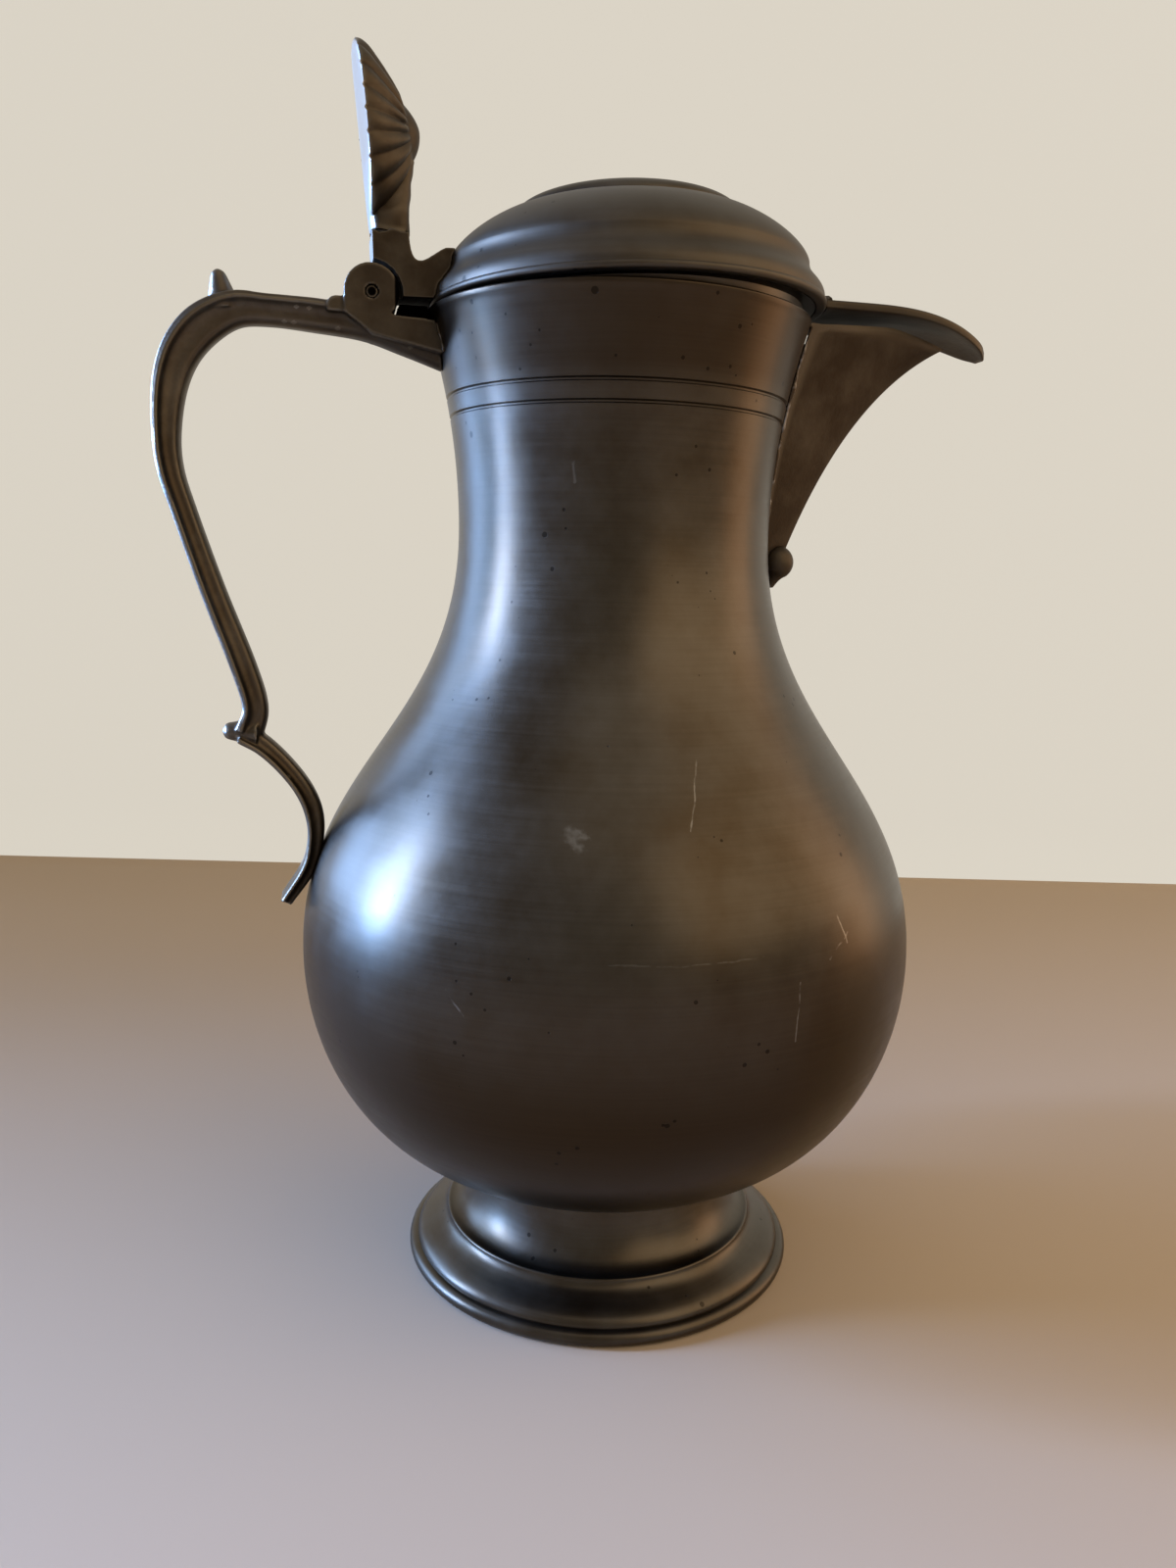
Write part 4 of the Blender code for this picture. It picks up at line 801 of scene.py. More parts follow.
def solder_metal(finish):
    """Tin solder, bright where it was scraped and dark where soot sits in it."""
    material, tree, shader, place = new_metal(SOLDER)
    # Patches of soot 2.4 mm across
    soot = node(tree, "ShaderNodeTexNoise", {"Vector": place, "Scale": 420.0, "Detail": 4.0})
    share = node(tree, "ShaderNodeMapRange", {"Value": soot, "From Min": 0.50, "From Max": 0.66})
    base = node(tree, "ShaderNodeMix", {
        "Factor": share, 6: finish.cast_dark, 7: finish.solder,
    }, data_type="RGBA")
    tree.links.new(base.outputs[2], shader.inputs["Base Color"])
    shader.inputs["Roughness"].default_value = 0.38
    return material


def metal(name):
    """One of the flagon's metals, made the first time it is asked for."""
    makers = {TURNED: turned_pewter, CAST: cast_pewter, SOLDER: solder_metal}
    return bpy.data.materials.get(name) or makers[name](bpy.context.scene.flagon_finish)


# Outlines

def bowl_outline(body, foot, steps):
    """Outside of the bulb's lower half, from the waist up to the belly: a quarter ellipse."""
    radii = (body.belly_radius - foot.waist_radius, body.belly_height - foot.waist_height)
    return arc((foot.waist_radius, body.belly_height), radii, -90, 0, steps)


def shoulder_outline(body, steps):
    """Outside of the body from the belly up to the narrowest part of the neck."""
    return bezier([
        (body.belly_radius, body.belly_height),
        (body.belly_radius, body.belly_height + body.shoulder_pull),
        (body.neck_radius, body.neck_height - body.neck_pull),
        (body.neck_radius, body.neck_height),
    ], steps)


def neck_radius_at(body, height):
    """Radius of the flared neck above its narrowest part."""
    share = max(height - body.neck_height, 0.0) / (body.rim_height - body.neck_height)
    return body.neck_radius + (body.rim_radius - body.neck_radius) * share * share


def neck_outline(body, steps):
    """Outside of the neck above its narrowest part, with the two turned grooves."""
    rise = body.rim_height - body.neck_height
    heights = [body.neck_height + rise * (i + 1) / steps for i in range(steps - 1)]
    grooves = []
    for middle in (body.groove_low, body.groove_high):
        half = body.groove_width / 2
        heights = [h for h in heights if abs(h - middle) > body.groove_width]
        for side, depth in ((-1.5, 0.0), (-1.0, 0.0), (-0.35, 1.0), (0.35, 1.0), (1.0, 0.0), (1.5, 0.0)):
            height = middle + side * half
            grooves.append((neck_radius_at(body, height) - depth * body.groove_depth, height))
    return sorted([(neck_radius_at(body, h), h) for h in heights] + grooves, key=lambda point: point[1])


def foot_outline(foot):
    """Rim bead, ogee, fine step and cavetto outside, hollow underneath."""
    bead_radii = (foot.radius - foot.crease_radius, foot.bead_height / 2)
    bead = arc((foot.crease_radius, foot.bead_height / 2), bead_radii, -90, 78, 18)
    lip_foot = foot.step_height - foot.step_lip
    rise = lip_foot - foot.bead_height
    ogee = bezier([
        (foot.crease_radius, foot.bead_height),
        (foot.crease_radius, foot.bead_height + 0.45 * rise),
        (foot.step_radius + 0.0009, lip_foot - 0.45 * rise),
        (foot.step_radius, lip_foot),
    ], 24)
    lip_radius = foot.step_radius - foot.step_lip
    step = arc((lip_radius, lip_foot), (foot.step_lip, foot.step_lip), 0, 90, 6)
    top = foot.waist_height
    cavetto = arc((lip_radius, top), (lip_radius - foot.waist_radius, top - foot.step_height), 268, 180, 24)
    throat = foot.waist_radius - foot.wall
    inside_radius = lip_radius - foot.wall
    inside = arc((inside_radius, top), (inside_radius - throat, top - foot.ledge_height), 180, 270, 14)
    stand = foot.crease_radius - foot.stand_width
    return bead + ogee + step + cavetto + inside + [(stand, foot.bead_height), (stand, 0.0)]


def body_outline(body, foot):
    """The whole jug, outside and inside, from the middle of its underside to the middle of its floor."""
    outside = [(foot.waist_radius * share, foot.waist_height) for share in (0.0, 0.5)]
    outside += bowl_outline(body, foot, 40) + shoulder_outline(body, 60)[1:] + neck_outline(body, 36)
    lip = body.wall * 0.22
    rim = arc((body.rim_radius - lip, body.rim_height - lip), (lip, lip), 0, 90, 4)
    rim += arc((body.rim_radius - body.wall + lip, body.rim_height - lip), (lip, lip), 90, 180, 4)
    plain = shoulder_outline(body, 20)
    for share in (0.25, 0.5, 0.75, 0.95):
        height = body.neck_height + share * (body.rim_height - body.neck_height)
        plain.append((neck_radius_at(body, height), height))
    floor = foot.waist_height + body.bottom_wall
    bowl = arc((foot.waist_radius - body.wall, body.belly_height),
               (body.belly_radius - foot.waist_radius, body.belly_height - floor), 0, -90, 20)
    return outside + rim + inset(plain, body.wall)[:0:-1] + bowl + [(0.0, floor)]


def lid_outline(lid, fine=True):
    """Outside of the lid from its edge up to the middle of the raised disc, above its edge."""
    steps = 3 if fine else 1
    half, quarter = lid.brim_height / 2, lid.brim_height / 4
    brim = arc((lid.radius - half, half), (half, half), -90, 60, 4 * steps)
    band_rise = lid.band_height - lid.brim_height
    band = bezier([
        (lid.radius - quarter, lid.brim_height),
        (lid.radius - quarter, lid.brim_height + band_rise * 0.45),
        (lid.band_radius, lid.band_height - band_rise * 0.51),
        (lid.band_radius, lid.band_height),
    ], 8 * steps)
    drop = lid.shoulder_height - lid.band_height
    dome = bezier([
        (lid.band_radius, lid.band_height),
        (lid.band_radius - drop * 0.083, lid.band_height + drop * 0.306),
        (lid.disc_radius + drop * 0.62, lid.shoulder_height - drop * 0.16),
        (lid.disc_radius, lid.shoulder_height),
    ], 12 * steps)
    flat = lid.disc_radius * 0.68
    step = 0.0005
    disc_radii = (lid.disc_radius - step - flat, lid.disc_height)
    disc = arc((flat, lid.shoulder_height), disc_radii, 0, 90, 6 * steps)
    top = lid.shoulder_height + lid.disc_height
    crown = [(flat * math.cos(a), top + lid.crown * math.sin(a)) for a in
             [math.pi / 2 * i / (4 * steps) for i in range(1, 4 * steps)]]
    return brim + band + dome[1:] + disc + crown + [(0.0, top + lid.crown)]


def lid_place(scene, level_origin=True):
    """Where the lid stands at rest: tipped up a little about the hinge pin."""
    handle = scene.flagon_handle
    pin = Matrix.Translation((-handle.pin_reach, 0.0, handle.pin_height))
    tipped = pin @ Matrix.Rotation(math.radians(-LID_TIP), 4, "Y")
    return tipped @ pin.inverted() if level_origin else tipped


def on_lid(scene, mesh):
    """Move a lid piece, drawn about the lid's own axis with its edge at height zero, to its place."""
    lid = scene.flagon_lid
    seat = Matrix.Translation((lid.offset, 0.0, scene.flagon_body.rim_height + lid.seat))
    return moved(mesh, lid_place(scene) @ seat)


# Spout, handle, leaf and shell

def keel_reach(spout, height):
    """How far the keel stands from the axis at a height, on a curve from foot to lip drawn to the bend."""
    if height >= spout.tip_height:
        return spout.tip_reach
    a = spout.foot_height - 2 * spout.bend_height + spout.tip_height
    b = 2 * (spout.bend_height - spout.foot_height)
    c = spout.foot_height - height
    t = (-b + math.sqrt(b * b - 4 * a * c)) / (2 * a)
    return spout.foot_reach * (1 - t) ** 2 + 2 * spout.bend_reach * t * (1 - t) + spout.tip_reach * t * t


def beak_point(spout, body, height, side, wall):
    """A point of the beak's skin at a height. Side runs from -1 at one edge, through the keel, to 1."""
    share = min((height - spout.foot_height) / (body.rim_height - spout.foot_height), 1.0)
    half = spout.foot_half_width + (spout.top_half_width - spout.foot_half_width) * share - wall
    neck = neck_radius_at(body, min(height, body.rim_height))
    off_neck, least_depth = 0.00015, 0.0003
    edge = math.sqrt(neck**2 - half**2) + off_neck
    far = max(keel_reach(spout, height) - 2 * wall, edge + least_depth)
    return Vector((edge + (far - edge) * (1 - abs(side) ** 1.16), half * side, height))


def arch_height(spout, body, reach):
    """Height of the beak's arched top edge at a distance from the axis."""
    along = max((reach - body.rim_radius) / (spout.tip_reach - body.rim_radius), 0.0)
    top = body.rim_height + spout.arch_rise
    base, span = (body.rim_height, ARCH_SHARE) if along < ARCH_SHARE else (spout.tip_height, 1 - ARCH_SHARE)
    return top - (top - base) * (abs(along - ARCH_SHARE) / span) ** 1.2


def beak_sheet(spout, body, wall, rows, columns):
    """Rows of points from the beak's foot to its arched top edge."""
    sides = []
    for k in range(columns + 1):
        s = 2 * k / columns - 1
        sides.append(math.copysign(abs(s) ** 1.4, s))
    # Each column ends where it meets the arched edge, which is found by halving
    tops = []
    for side in sides:
        low, high = spout.foot_height, body.rim_height + spout.arch_rise + 0.001
        for _ in range(40):
            middle = (low + high) / 2
            if arch_height(spout, body, beak_point(spout, body, middle, side, wall).x) > middle:
                low = middle
            else:
                high = middle
        tops.append(low)
    sheet = []
    for i in range(rows + 1):
        share = i / rows
        row = []
        for side, top in zip(sides, tops):
            height = spout.foot_height + (top - spout.foot_height) * share
            row.append(beak_point(spout, body, height, side, wall))
        sheet.append(row)
    return sheet


def beak_mesh(spout, body):
    """The hollow beak: an outer and an inner sheet joined round their edges."""
    bm = bmesh.new()
    sheets = []
    for wall in (0.0, spout.wall):
        sheet = beak_sheet(spout, body, wall, *SHEET_FACES)
        sheets.append([[bm.verts.new(point) for point in row] for row in sheet])
    outer, inner = sheets
    rows, columns = len(outer) - 1, len(outer[0]) - 1
    for i in range(rows):
        for k in range(columns):
            bm.faces.new((outer[i][k], outer[i][k + 1], outer[i + 1][k + 1], outer[i + 1][k]))
            bm.faces.new((inner[i][k], inner[i + 1][k], inner[i + 1][k + 1], inner[i][k + 1]))
    rim = [(i, 0) for i in range(rows)] + [(rows, k) for k in range(columns)]
    rim += [(i, columns) for i in range(rows, 0, -1)] + [(0, k) for k in range(columns, 0, -1)]
    for (i, k), (j, m) in zip(rim, rim[1:] + rim[:1]):
        bm.faces.new((outer[i][k], outer[j][m], inner[j][m], inner[i][k]))
    return as_mesh(bm)


def strap(handle, reaches, heights, thicknesses, widths, low, high, steps):
    """Sweep the beaded and fluted section along a centre line in the plane Y = 0."""
    reach = [handle.reach * share for share in smooth_through(reaches, steps)]
    height = [low + (high - low) * share for share in smooth_through(heights, steps)]
    thickness = [handle.thickness * share for share in smooth_through(thicknesses, steps)]
    width = smooth_through(widths, steps)
    centre = [Vector((-r, 0.0, h)) for r, h in zip(reach, height)]
    sections = []
    for i, point in enumerate(centre):
        along = (centre[min(i + 1, len(centre) - 1)] - centre[max(i - 1, 0)]).normalized()
        inwards = Vector((-along.z, 0.0, along.x)) * thickness[i]
        across = Vector((0.0, width[i], 0.0))
        ring = [point + inwards * (depth - 0.5) + across * out for depth, out in SECTION_SHARES]
        ring += [Vector((p.x, -p.y, p.z)) for p in ring[:0:-1]]
        sections.append(ring)
    return lofted(sections)


def horn(base, direction, height, base_radius, tip_radius, width_share):
    """A small blunt horn with a rounded end, wider across than it is thick."""
    axis = Vector(direction).normalized()
    across = Vector((0.0, 1.0, 0.0))
    up = axis.cross(across)
    steps = 12
    sections = []
    for i in range(steps + 1):
        share = i / steps
        radius = base_radius + (tip_radius - base_radius) * share
        radius *= math.sqrt(max(1 - max(share - 0.85, 0.0) ** 2 / 0.0250, 0.04))
        middle = Vector(base) + axis * height * share
        sections.append([
            middle + up * radius * math.cos(a) + across * radius * width_share * math.sin(a)
            for a in angles_round(20)
        ])
    return lofted(sections)


def handle_mesh(scene):
    """Strap, tail, spurs, moulding and ears in one casting, cut for the lever's knuckle and the neck."""
    handle, body, foot = scene.flagon_handle, scene.flagon_body, scene.flagon_foot
    half = handle.half_width
    widths = [half * share for share in STRAP_WIDTH_SHARES]
    main = strap(handle, STRAP_REACH_SHARES, STRAP_HEIGHT_SHARES, STRAP_THICKNESS_SHARES, widths,
                 handle.knee_height, handle.top_height, 7)
    tail = strap(handle, TAIL_REACH_SHARES, TAIL_HEIGHT_SHARES, TAIL_THICKNESS_SHARES,
                 [handle.tail_half_width] * len(TAIL_REACH_SHARES), handle.tail_height, handle.knee_height, 7)
    # Each spur starts this deep in the strap
    knee_root, spur_root = 0.0032, 0.0028
    knee = (-handle.reach * TAIL_REACH_SHARES[0] + knee_root, 0.0, handle.knee_height)
    knee_spur = horn(knee, (-1.0, 0.0, 0.05), handle.knee_spur_length + knee_root,
                     base_radius=0.0032, tip_radius=0.0016, width_share=1.4)
    spur_foot = (-handle.spur_reach, 0.0, handle.top_height + handle.thickness / 2 - spur_root)
    spur = horn(spur_foot, (-0.0008, 0.0, handle.spur_height), handle.spur_height + spur_root,
                base_radius=0.0038, tip_radius=0.0012, width_share=1.2)
    # The moulding before the ears is a quarter round on a low step, a little wider than the strap
    step_rise, round_reach, round_radius, overhang = 0.0014, 0.0074, 0.0017, 0.0008
    step_foot = handle.top_height + step_rise
    moulding = arc((-handle.pin_reach - round_reach, step_foot), (round_radius, round_radius), 180, 90, 10)
    moulding += [(-handle.pin_reach, step_foot + round_radius), (-handle.pin_reach, handle.top_height)]
    moulding += [(-handle.pin_reach - round_reach - round_radius, handle.top_height)]
    # The ears' block runs on into the neck, deeper there than under the ears
    heel_depth, root_depth, shelf_depth = 0.0040, 0.0080, 0.0009
    ear = handle.ear_radius
    ear_foot = -math.degrees(math.asin((handle.pin_height - handle.top_height) / ear))
    block = arc((-handle.pin_reach, handle.pin_height), (ear, ear), ear_foot, 190, 44)
    block += [
        (-handle.pin_reach - ear, handle.top_height),
        (-handle.pin_reach, handle.top_height - heel_depth),
        (-body.neck_radius, handle.top_height - root_depth),
        (-body.neck_radius, handle.top_height - shelf_depth),
    ]
    # A web between the ears carries the lever's seat
    side = handle.hinge_half_width - handle.ear_thickness
    start, end = handle.knuckle_radius - handle.pin_reach, 0.0003 - body.neck_radius
    low, high = handle.top_height - 0.0021, handle.pin_height - 0.0015
    seat = plate([(start, low), (end, low), (end, high), (start, high)], side - SIDE_PLAY)
    far = handle.hinge_half_width + 0.004
    slot = handle.knuckle_radius + EAR_PLAY
    bore = handle.pin_radius + PIN_PLAY
    knuckle_room = bar([(bore, -far), (bore, -side), (slot, -side), (slot, side), (bore, side), (bore, far)])
    moved(knuckle_room, Matrix.Translation((-handle.pin_reach, 0.0, handle.pin_height)))
    # Nothing of the handle stands inside the body's outside
    outline = bowl_outline(body, foot, 12) + shoulder_outline(body, 24)[1:]
    neck_heights = (0.18, 0.19, 0.20, 0.21, body.rim_height)
    outline += [(neck_radius_at(body, height), height) for height in neck_heights]
    around_body = [(r + HAIR, h) for r, h in outline]
    around_body.append((around_body[-1][0], around_body[-1][1] + 0.01))
    envelope = turned([(0.0, around_body[0][1])] + around_body + [(0.0, around_body[-1][1])], sides=96)
    return combined(main, [
        ("UNION", tail), ("UNION", knee_spur), ("UNION", spur), ("UNION", plate(moulding, half + overhang)),
        ("UNION", plate(block, handle.hinge_half_width)), ("UNION", seat), ("DIFFERENCE", knuckle_room),
        ("DIFFERENCE", envelope),
    ])


def jag(x, y):
    """Height of the broken surface between the lever's stump and the thumbpiece's stem."""
    # Coarse steps 2.4 mm apart, finer ones a third as far apart, and a slope towards the front
    spot = Vector((x * 420, y * 420, 3.1))
    return 0.0007 * noise.noise(spot) + 0.0003 * noise.noise(spot * 3.3) - 0.05 * (x - 0.004)


def lever_mesh(scene):
    """Lever from the knuckle up to the lid's shoulder, drawn about the hinge pin, with the broken stump."""
    lid, handle = scene.flagon_lid, scene.flagon_handle
    stump_back = 0.0005
    underside = -0.0008
    last_angle = 360 + math.degrees(math.asin(underside / handle.knuckle_radius))
    knuckle = arc((0.0, 0.0), (handle.knuckle_radius, handle.knuckle_radius), 84.6, last_angle, 48)
    throat = bezier([
        (lid.nub_reach, lid.nub_height),
        (0.0128, 0.0086),
        (lid.stem_front, lid.throat_pull),
        (lid.stem_front, lid.crack_height),
    ], 20)
    middle = handle.pin_reach + lid.offset
    outline = knuckle + [(middle, underside), (middle, lid.nub_height)] + throat
    outline.append((stump_back, lid.crack_height))
    recess = handle.ear_radius + EAR_PLAY
    bore = handle.pin_radius + PIN_PLAY
    side = handle.hinge_half_width - handle.ear_thickness - SIDE_PLAY
    far = handle.hinge_half_width
    room = bar([(recess, -far), (recess, -side), (bore, -side), (bore, side), (recess, side), (recess, far)])
    seat = [(radius + HAIR, height) for radius, height in lid_outline(lid, fine=False)]
    seat = [(seat[0][0], -lid.bezel_depth)] + seat[:-1] + [(0.0, seat[-1][1]), (0.0, -lid.bezel_depth)]
    edge_height = scene.flagon_body.rim_height + lid.seat - handle.pin_height
    envelope = moved(turned(seat, sides=96), Matrix.Translation((middle, 0.0, edge_height)))
    return combined(plate(outline, lid.lever_half_width), [("DIFFERENCE", room), ("DIFFERENCE", envelope)])


def shell_radius(shell, angle):
    """Distance from the shell's boss to its rim: a fan, broad at the top, drawn in at the stem."""
    up, power = (shell.top, 2.3) if math.sin(angle) > 0 else (shell.bottom, 1.8)
    across = abs(math.cos(angle) / shell.half_width) ** power
    return (across + abs(math.sin(angle) / up) ** power) ** (-1 / power)


def rim_plane(shell, lid, height):
    """How far the plane of the shell's rim stands from the hinge pin at a height above the pin."""
    return shell.forward - shell.lean * (height - lid.crack_height) / (shell.boss_height - lid.crack_height)


def shell_front(shell, share, angle):
    """How far the smooth front stands out at a share of the way to the rim, with the boss in its middle."""
    boss = max(1 - (share / BOSS_SHARE) ** 2, 0.0)
    rim = min(max((share - ROLL_START_SHARE) / (1 - ROLL_START_SHARE), 0.0), 1.0)
    dome = 1 - share ** (1.85 - 0.35 * math.sin(angle))
    return shell.edge * math.sqrt(1 - rim**2) + dome * shell.depth + boss * shell.boss_rise


def shell_back(shell, share, across):
    """How far the plain back stands out: rounded from side to side, and rolled in at the rim."""
    roll = min((1 - share) / (1 - ROLL_START_SHARE), 1.0)
    return -shell.back_camber * (1 - across**2) * math.sqrt(roll * (2 - roll))


def shell_mesh(shell, lid, material):
    """The fan, with ribs raised by its geometry tree."""
    spokes = shell.ribs * 16
    # Loops of points from the boss out to the rim, close together where the rim rolls over, and back
    roll = 1 - ROLL_START_SHARE
    turns = [math.sin(math.pi / 2 * (i + 1) / 7) for i in range(7)]
    front = [ROLL_START_SHARE * (i + 1) / 32 for i in range(32)]
    front += [ROLL_START_SHARE + roll * t for t in turns]
    back = [1 - roll * (1 - t) for t in turns[-2::-1]]
    back += [ROLL_START_SHARE * (1 - (i + 1) / 10) for i in range(9)]
    bm = bmesh.new()
    angle_layer = bm.verts.layers.float.new("shell_angle")
    fade_layer = bm.verts.layers.float.new("shell_fade")
    loops = []
    for is_front, shares in ((True, front), (False, back)):
        for share in shares:
            loop = []
            for angle in angles_round(spokes):
                distance = shell_radius(shell, angle) * share
                y, z = distance * math.cos(angle), shell.boss_height + distance * math.sin(angle)
                if is_front:
                    rise = shell_front(shell, share, angle)
                else:
                    rise = shell_back(shell, share, y / shell.half_width)
                vert = bm.verts.new((rim_plane(shell, lid, z) + rise, y, z))
                vert[angle_layer] = angle
                if is_front and share > BOSS_SHARE:
                    vert[fade_layer] = min((share - BOSS_SHARE) / 0.12, 1.0)
                loop.append(vert)
            loops.append(loop)
    for inner, outer in zip(loops, loops[1:]):
        for k, vert in enumerate(inner):
            j = (k + 1) % spokes
            bm.faces.new((vert, inner[j], outer[j], outer[k]))
    middle = rim_plane(shell, lid, shell.boss_height)
    tip = bm.verts.new((middle + shell_front(shell, 0.0, 0.0), 0.0, shell.boss_height))
    heel = bm.verts.new((middle + shell_back(shell, 0.0, 0.0), 0.0, shell.boss_height))
    for k in range(spokes):
        j = (k + 1) % spokes
        bm.faces.new((tip, loops[0][j], loops[0][k]))
        bm.faces.new((heel, loops[-1][k], loops[-1][j]))
    fan = bpy.data.meshes.new("fan")
    bmesh.ops.recalc_face_normals(bm, faces=bm.faces)
    bm.to_mesh(fan)
    bm.free()
    tree = bpy.data.node_groups.get("Shell ribs") or ribbed_tree()
    return grown(fan, tree, {"Ribs": shell.ribs, "Rib depth": shell.rib_depth, "Material": material})


def stem_mesh(shell, lid):
    """Stem that carries the shell: a round back, flat sides, and broken underneath."""
    sections = []
    steps = 24
    crack_gap, back_round, stem_half_width = 0.00025, 0.0012, 0.0046
    rise = shell.boss_height - shell.bottom * BOSS_SHARE - lid.crack_height
    for i in range(steps + 1):
        share = i / steps
        z = lid.crack_height + crack_gap + rise * share
        side = rim_plane(shell, lid, z) + back_round
        rear = side - back_round - shell.back_camber * (1 - 0.9 * share**2)
        fore = lid.stem_front + 0.0005 + 0.0015 * share**2
        half = stem_half_width * (1 - 0.40 * max(share - 0.3, 0.0) / 0.7)
        ring = []
        for angle in angles_round(48):
            c, s = math.cos(angle), math.sin(angle)
            x = side + (fore - side) * c**0.5 if c > 0 else side - (side - rear) * abs(c) ** 0.9
            y = half * math.copysign(abs(s) ** 0.55, s)
            wobble = 0.00018 * noise.noise(Vector((x, y, z)) * 420)
            fade = (1 - share) ** 3
            ring.append((x + wobble, y + wobble, z + jag(x, y) * fade))
        sections.append(ring)
    return lofted(sections)


def flap_mesh(scene):
    """Leaf over the spout: arched across, drooping to a rounded tip, its edge rounded by wear."""
    lid = scene.flagon_lid
    root = lid.radius + HAIR
    span = lid.flap_reach - lid.offset - root
    root_height, arch, straight_share = 0.0008, 0.0010, 0.20
    sections = []
    stations = smooth_through(FLAP_STATION_SHARES, 6)
    widths = smooth_through(FLAP_WIDTH_SHARES, 6)
    for along, width_share in zip(stations, widths):
        half = lid.flap_half_width * width_share
        bent = max(along - straight_share, 0.0) / (1 - straight_share)
        middle = root_height - lid.flap_droop * bent**3
        ring = []
        for angle in angles_round(56):
            c, s = math.cos(angle), math.sin(angle)
            side = math.copysign(abs(c) ** 0.5, c)
            y = half * side
            x = math.sqrt(root**2 - y**2) + span * along
            up = 0.5 + 0.5 * math.copysign(abs(s) ** 0.35, s)
            z = middle + lid.flap_thickness * up - arch * width_share * side**2
            ring.append((x, y, z))
        sections.append(ring)
    return lofted(sections)


# Studio

# The handle's plane is turned this many degrees from the picture's plane, and the studio with the picture
TURN = -14.0
# The photograph's camera: its place in metres, its yaw, pitch and roll in degrees, and its focal length
# and the picture's height in pixels
CAMERA_PLACE = (0.0, -0.2769, 0.1637)
CAMERA_ANGLES = (-0.949, 9.827, 1.182)
FOCAL_PIXELS, PICTURE_HEIGHT = 1205, 1600
# The flagon's middle, which two of the lamps aim at
MIDDLE = (0.0, 0.0, 0.13)
# Each lamp's name, place, aim, width and height in metres, watts, spread in degrees and colour. Where the
# spread is 90, a grid in front of the lamp keeps its light off the backdrop
LAMPS = (
    ("window_lamp", (-0.95, -0.05, 0.40), (0.0, -0.49, 0.40), 0.18, 0.64, 12.0, 90.0, "#6aa8ff"),
    ("curtain_lamp", (-0.94, -0.06, 0.42), (0.0, -0.50, 0.42), 0.08, 0.52, 4.0, 90.0, "#eef3ff"),
    ("sky_lamp", (-0.80, 0.20, 0.45), (0.0, -0.35, 0.45), 0.45, 0.70, 3.2, 90.0, "#8fbcff"),
    ("room_lamp", (0.95, -0.50, 0.75), MIDDLE, 1.6, 1.0, 5.6, 180.0, "#ffdcae"),
    ("door_lamp", (0.85, 0.12, 0.40), (0.0, -0.40, 0.40), 0.40, 0.90, 0.7, 90.0, "#ffc896"),
    ("ceiling_lamp", (0.1, -0.45, 1.20), MIDDLE, 1.0, 1.0, 1.4, 180.0, "#fff3e4"),
)


def plain_surface(name, colour, roughness, own_light):
    """A plain surface; a share of what the eye and the metal see of it is its own even light."""
    material = bpy.data.materials.new(name)
    material.use_nodes = True
    tree = material.node_tree
    shader = tree.nodes["Principled BSDF"]
    shader.inputs["Base Color"].default_value = colour
    shader.inputs["Roughness"].default_value = roughness
    shader.inputs["Specular IOR Level"].default_value = 0.2
    path = node(tree, "ShaderNodeLightPath")
    seen = path.outputs["Is Camera Ray"]
    for ray in ("Is Glossy Ray", "Is Transmission Ray"):
        seen = node(tree, "ShaderNodeMath", {0: seen, 1: path.outputs[ray]}, operation="MAXIMUM")
    share = node(tree, "ShaderNodeMath", {0: seen, 1: own_light}, operation="MULTIPLY")
    glow = node(tree, "ShaderNodeEmission", {"Color": colour})
    both = node(tree, "ShaderNodeMixShader", {0: share, 1: shader.outputs[0], 2: glow.outputs[0]})
    # Nothing is seen of it from behind, so that it hides the flagon in no view
    behind = node(tree, "ShaderNodeNewGeometry").outputs["Backfacing"]
    clear = node(tree, "ShaderNodeBsdfTransparent")
    front = node(tree, "ShaderNodeMixShader", {0: behind, 1: both.outputs[0], 2: clear.outputs[0]})
    tree.links.new(front.outputs[0], tree.nodes["Material Output"].inputs["Surface"])
    return material


def sweep_mesh(finish, around):
    """The floor, the wall behind the flagon and the cove between them."""
    half_width, back, wall_height, cove = 2.2, 0.39, 1.6, 0.03
    line = [(-half_width, 0.0)]
    line += [(back - cove + y, cove + z) for y, z in arc((0.0, 0.0), (cove, cove), -90, 0, 12)]
    line += [(back, wall_height)]
    # The floor's colour runs this many strips of the sweep, a little way up the cove
    floor_strips = 4
    bm = bmesh.new()
    rows = [[bm.verts.new(around @ Vector((x, y, z))) for y, z in line] for x in (-half_width, half_width)]
    for i in range(len(line) - 1):
        face = bm.faces.new((rows[0][i], rows[1][i], rows[1][i + 1], rows[0][i + 1]))
        face.material_index = 0 if i < floor_strips else 1
    mesh = bpy.data.meshes.new("studio_sweep")
    bm.to_mesh(mesh)
    bm.free()
    mesh.materials.append(plain_surface("pale_floor", finish.floor, 0.6, 0.0))
    mesh.materials.append(plain_surface("pale_wall", finish.wall, 0.8, 0.85))
    mesh.shade_smooth()
    return mesh


def hang_lamp(around, name, place, aim, width, height, watts, spread, colour):
    """Hang one rectangular lamp and turn it to its aim."""
    lamp = bpy.data.lights.new(name, "AREA")
    lamp.shape = "RECTANGLE"
    lamp.size = width
    lamp.size_y = height
    lamp.energy = watts
    lamp.spread = math.radians(spread)
    lamp.color = linear(colour)[:3]
    obj = placed(name, lamp)
    obj.location = around @ Vector(place)
    facing = around @ (Vector(place) - Vector(aim))
    obj.rotation_euler = facing.to_track_quat("Z", "Y").to_euler()


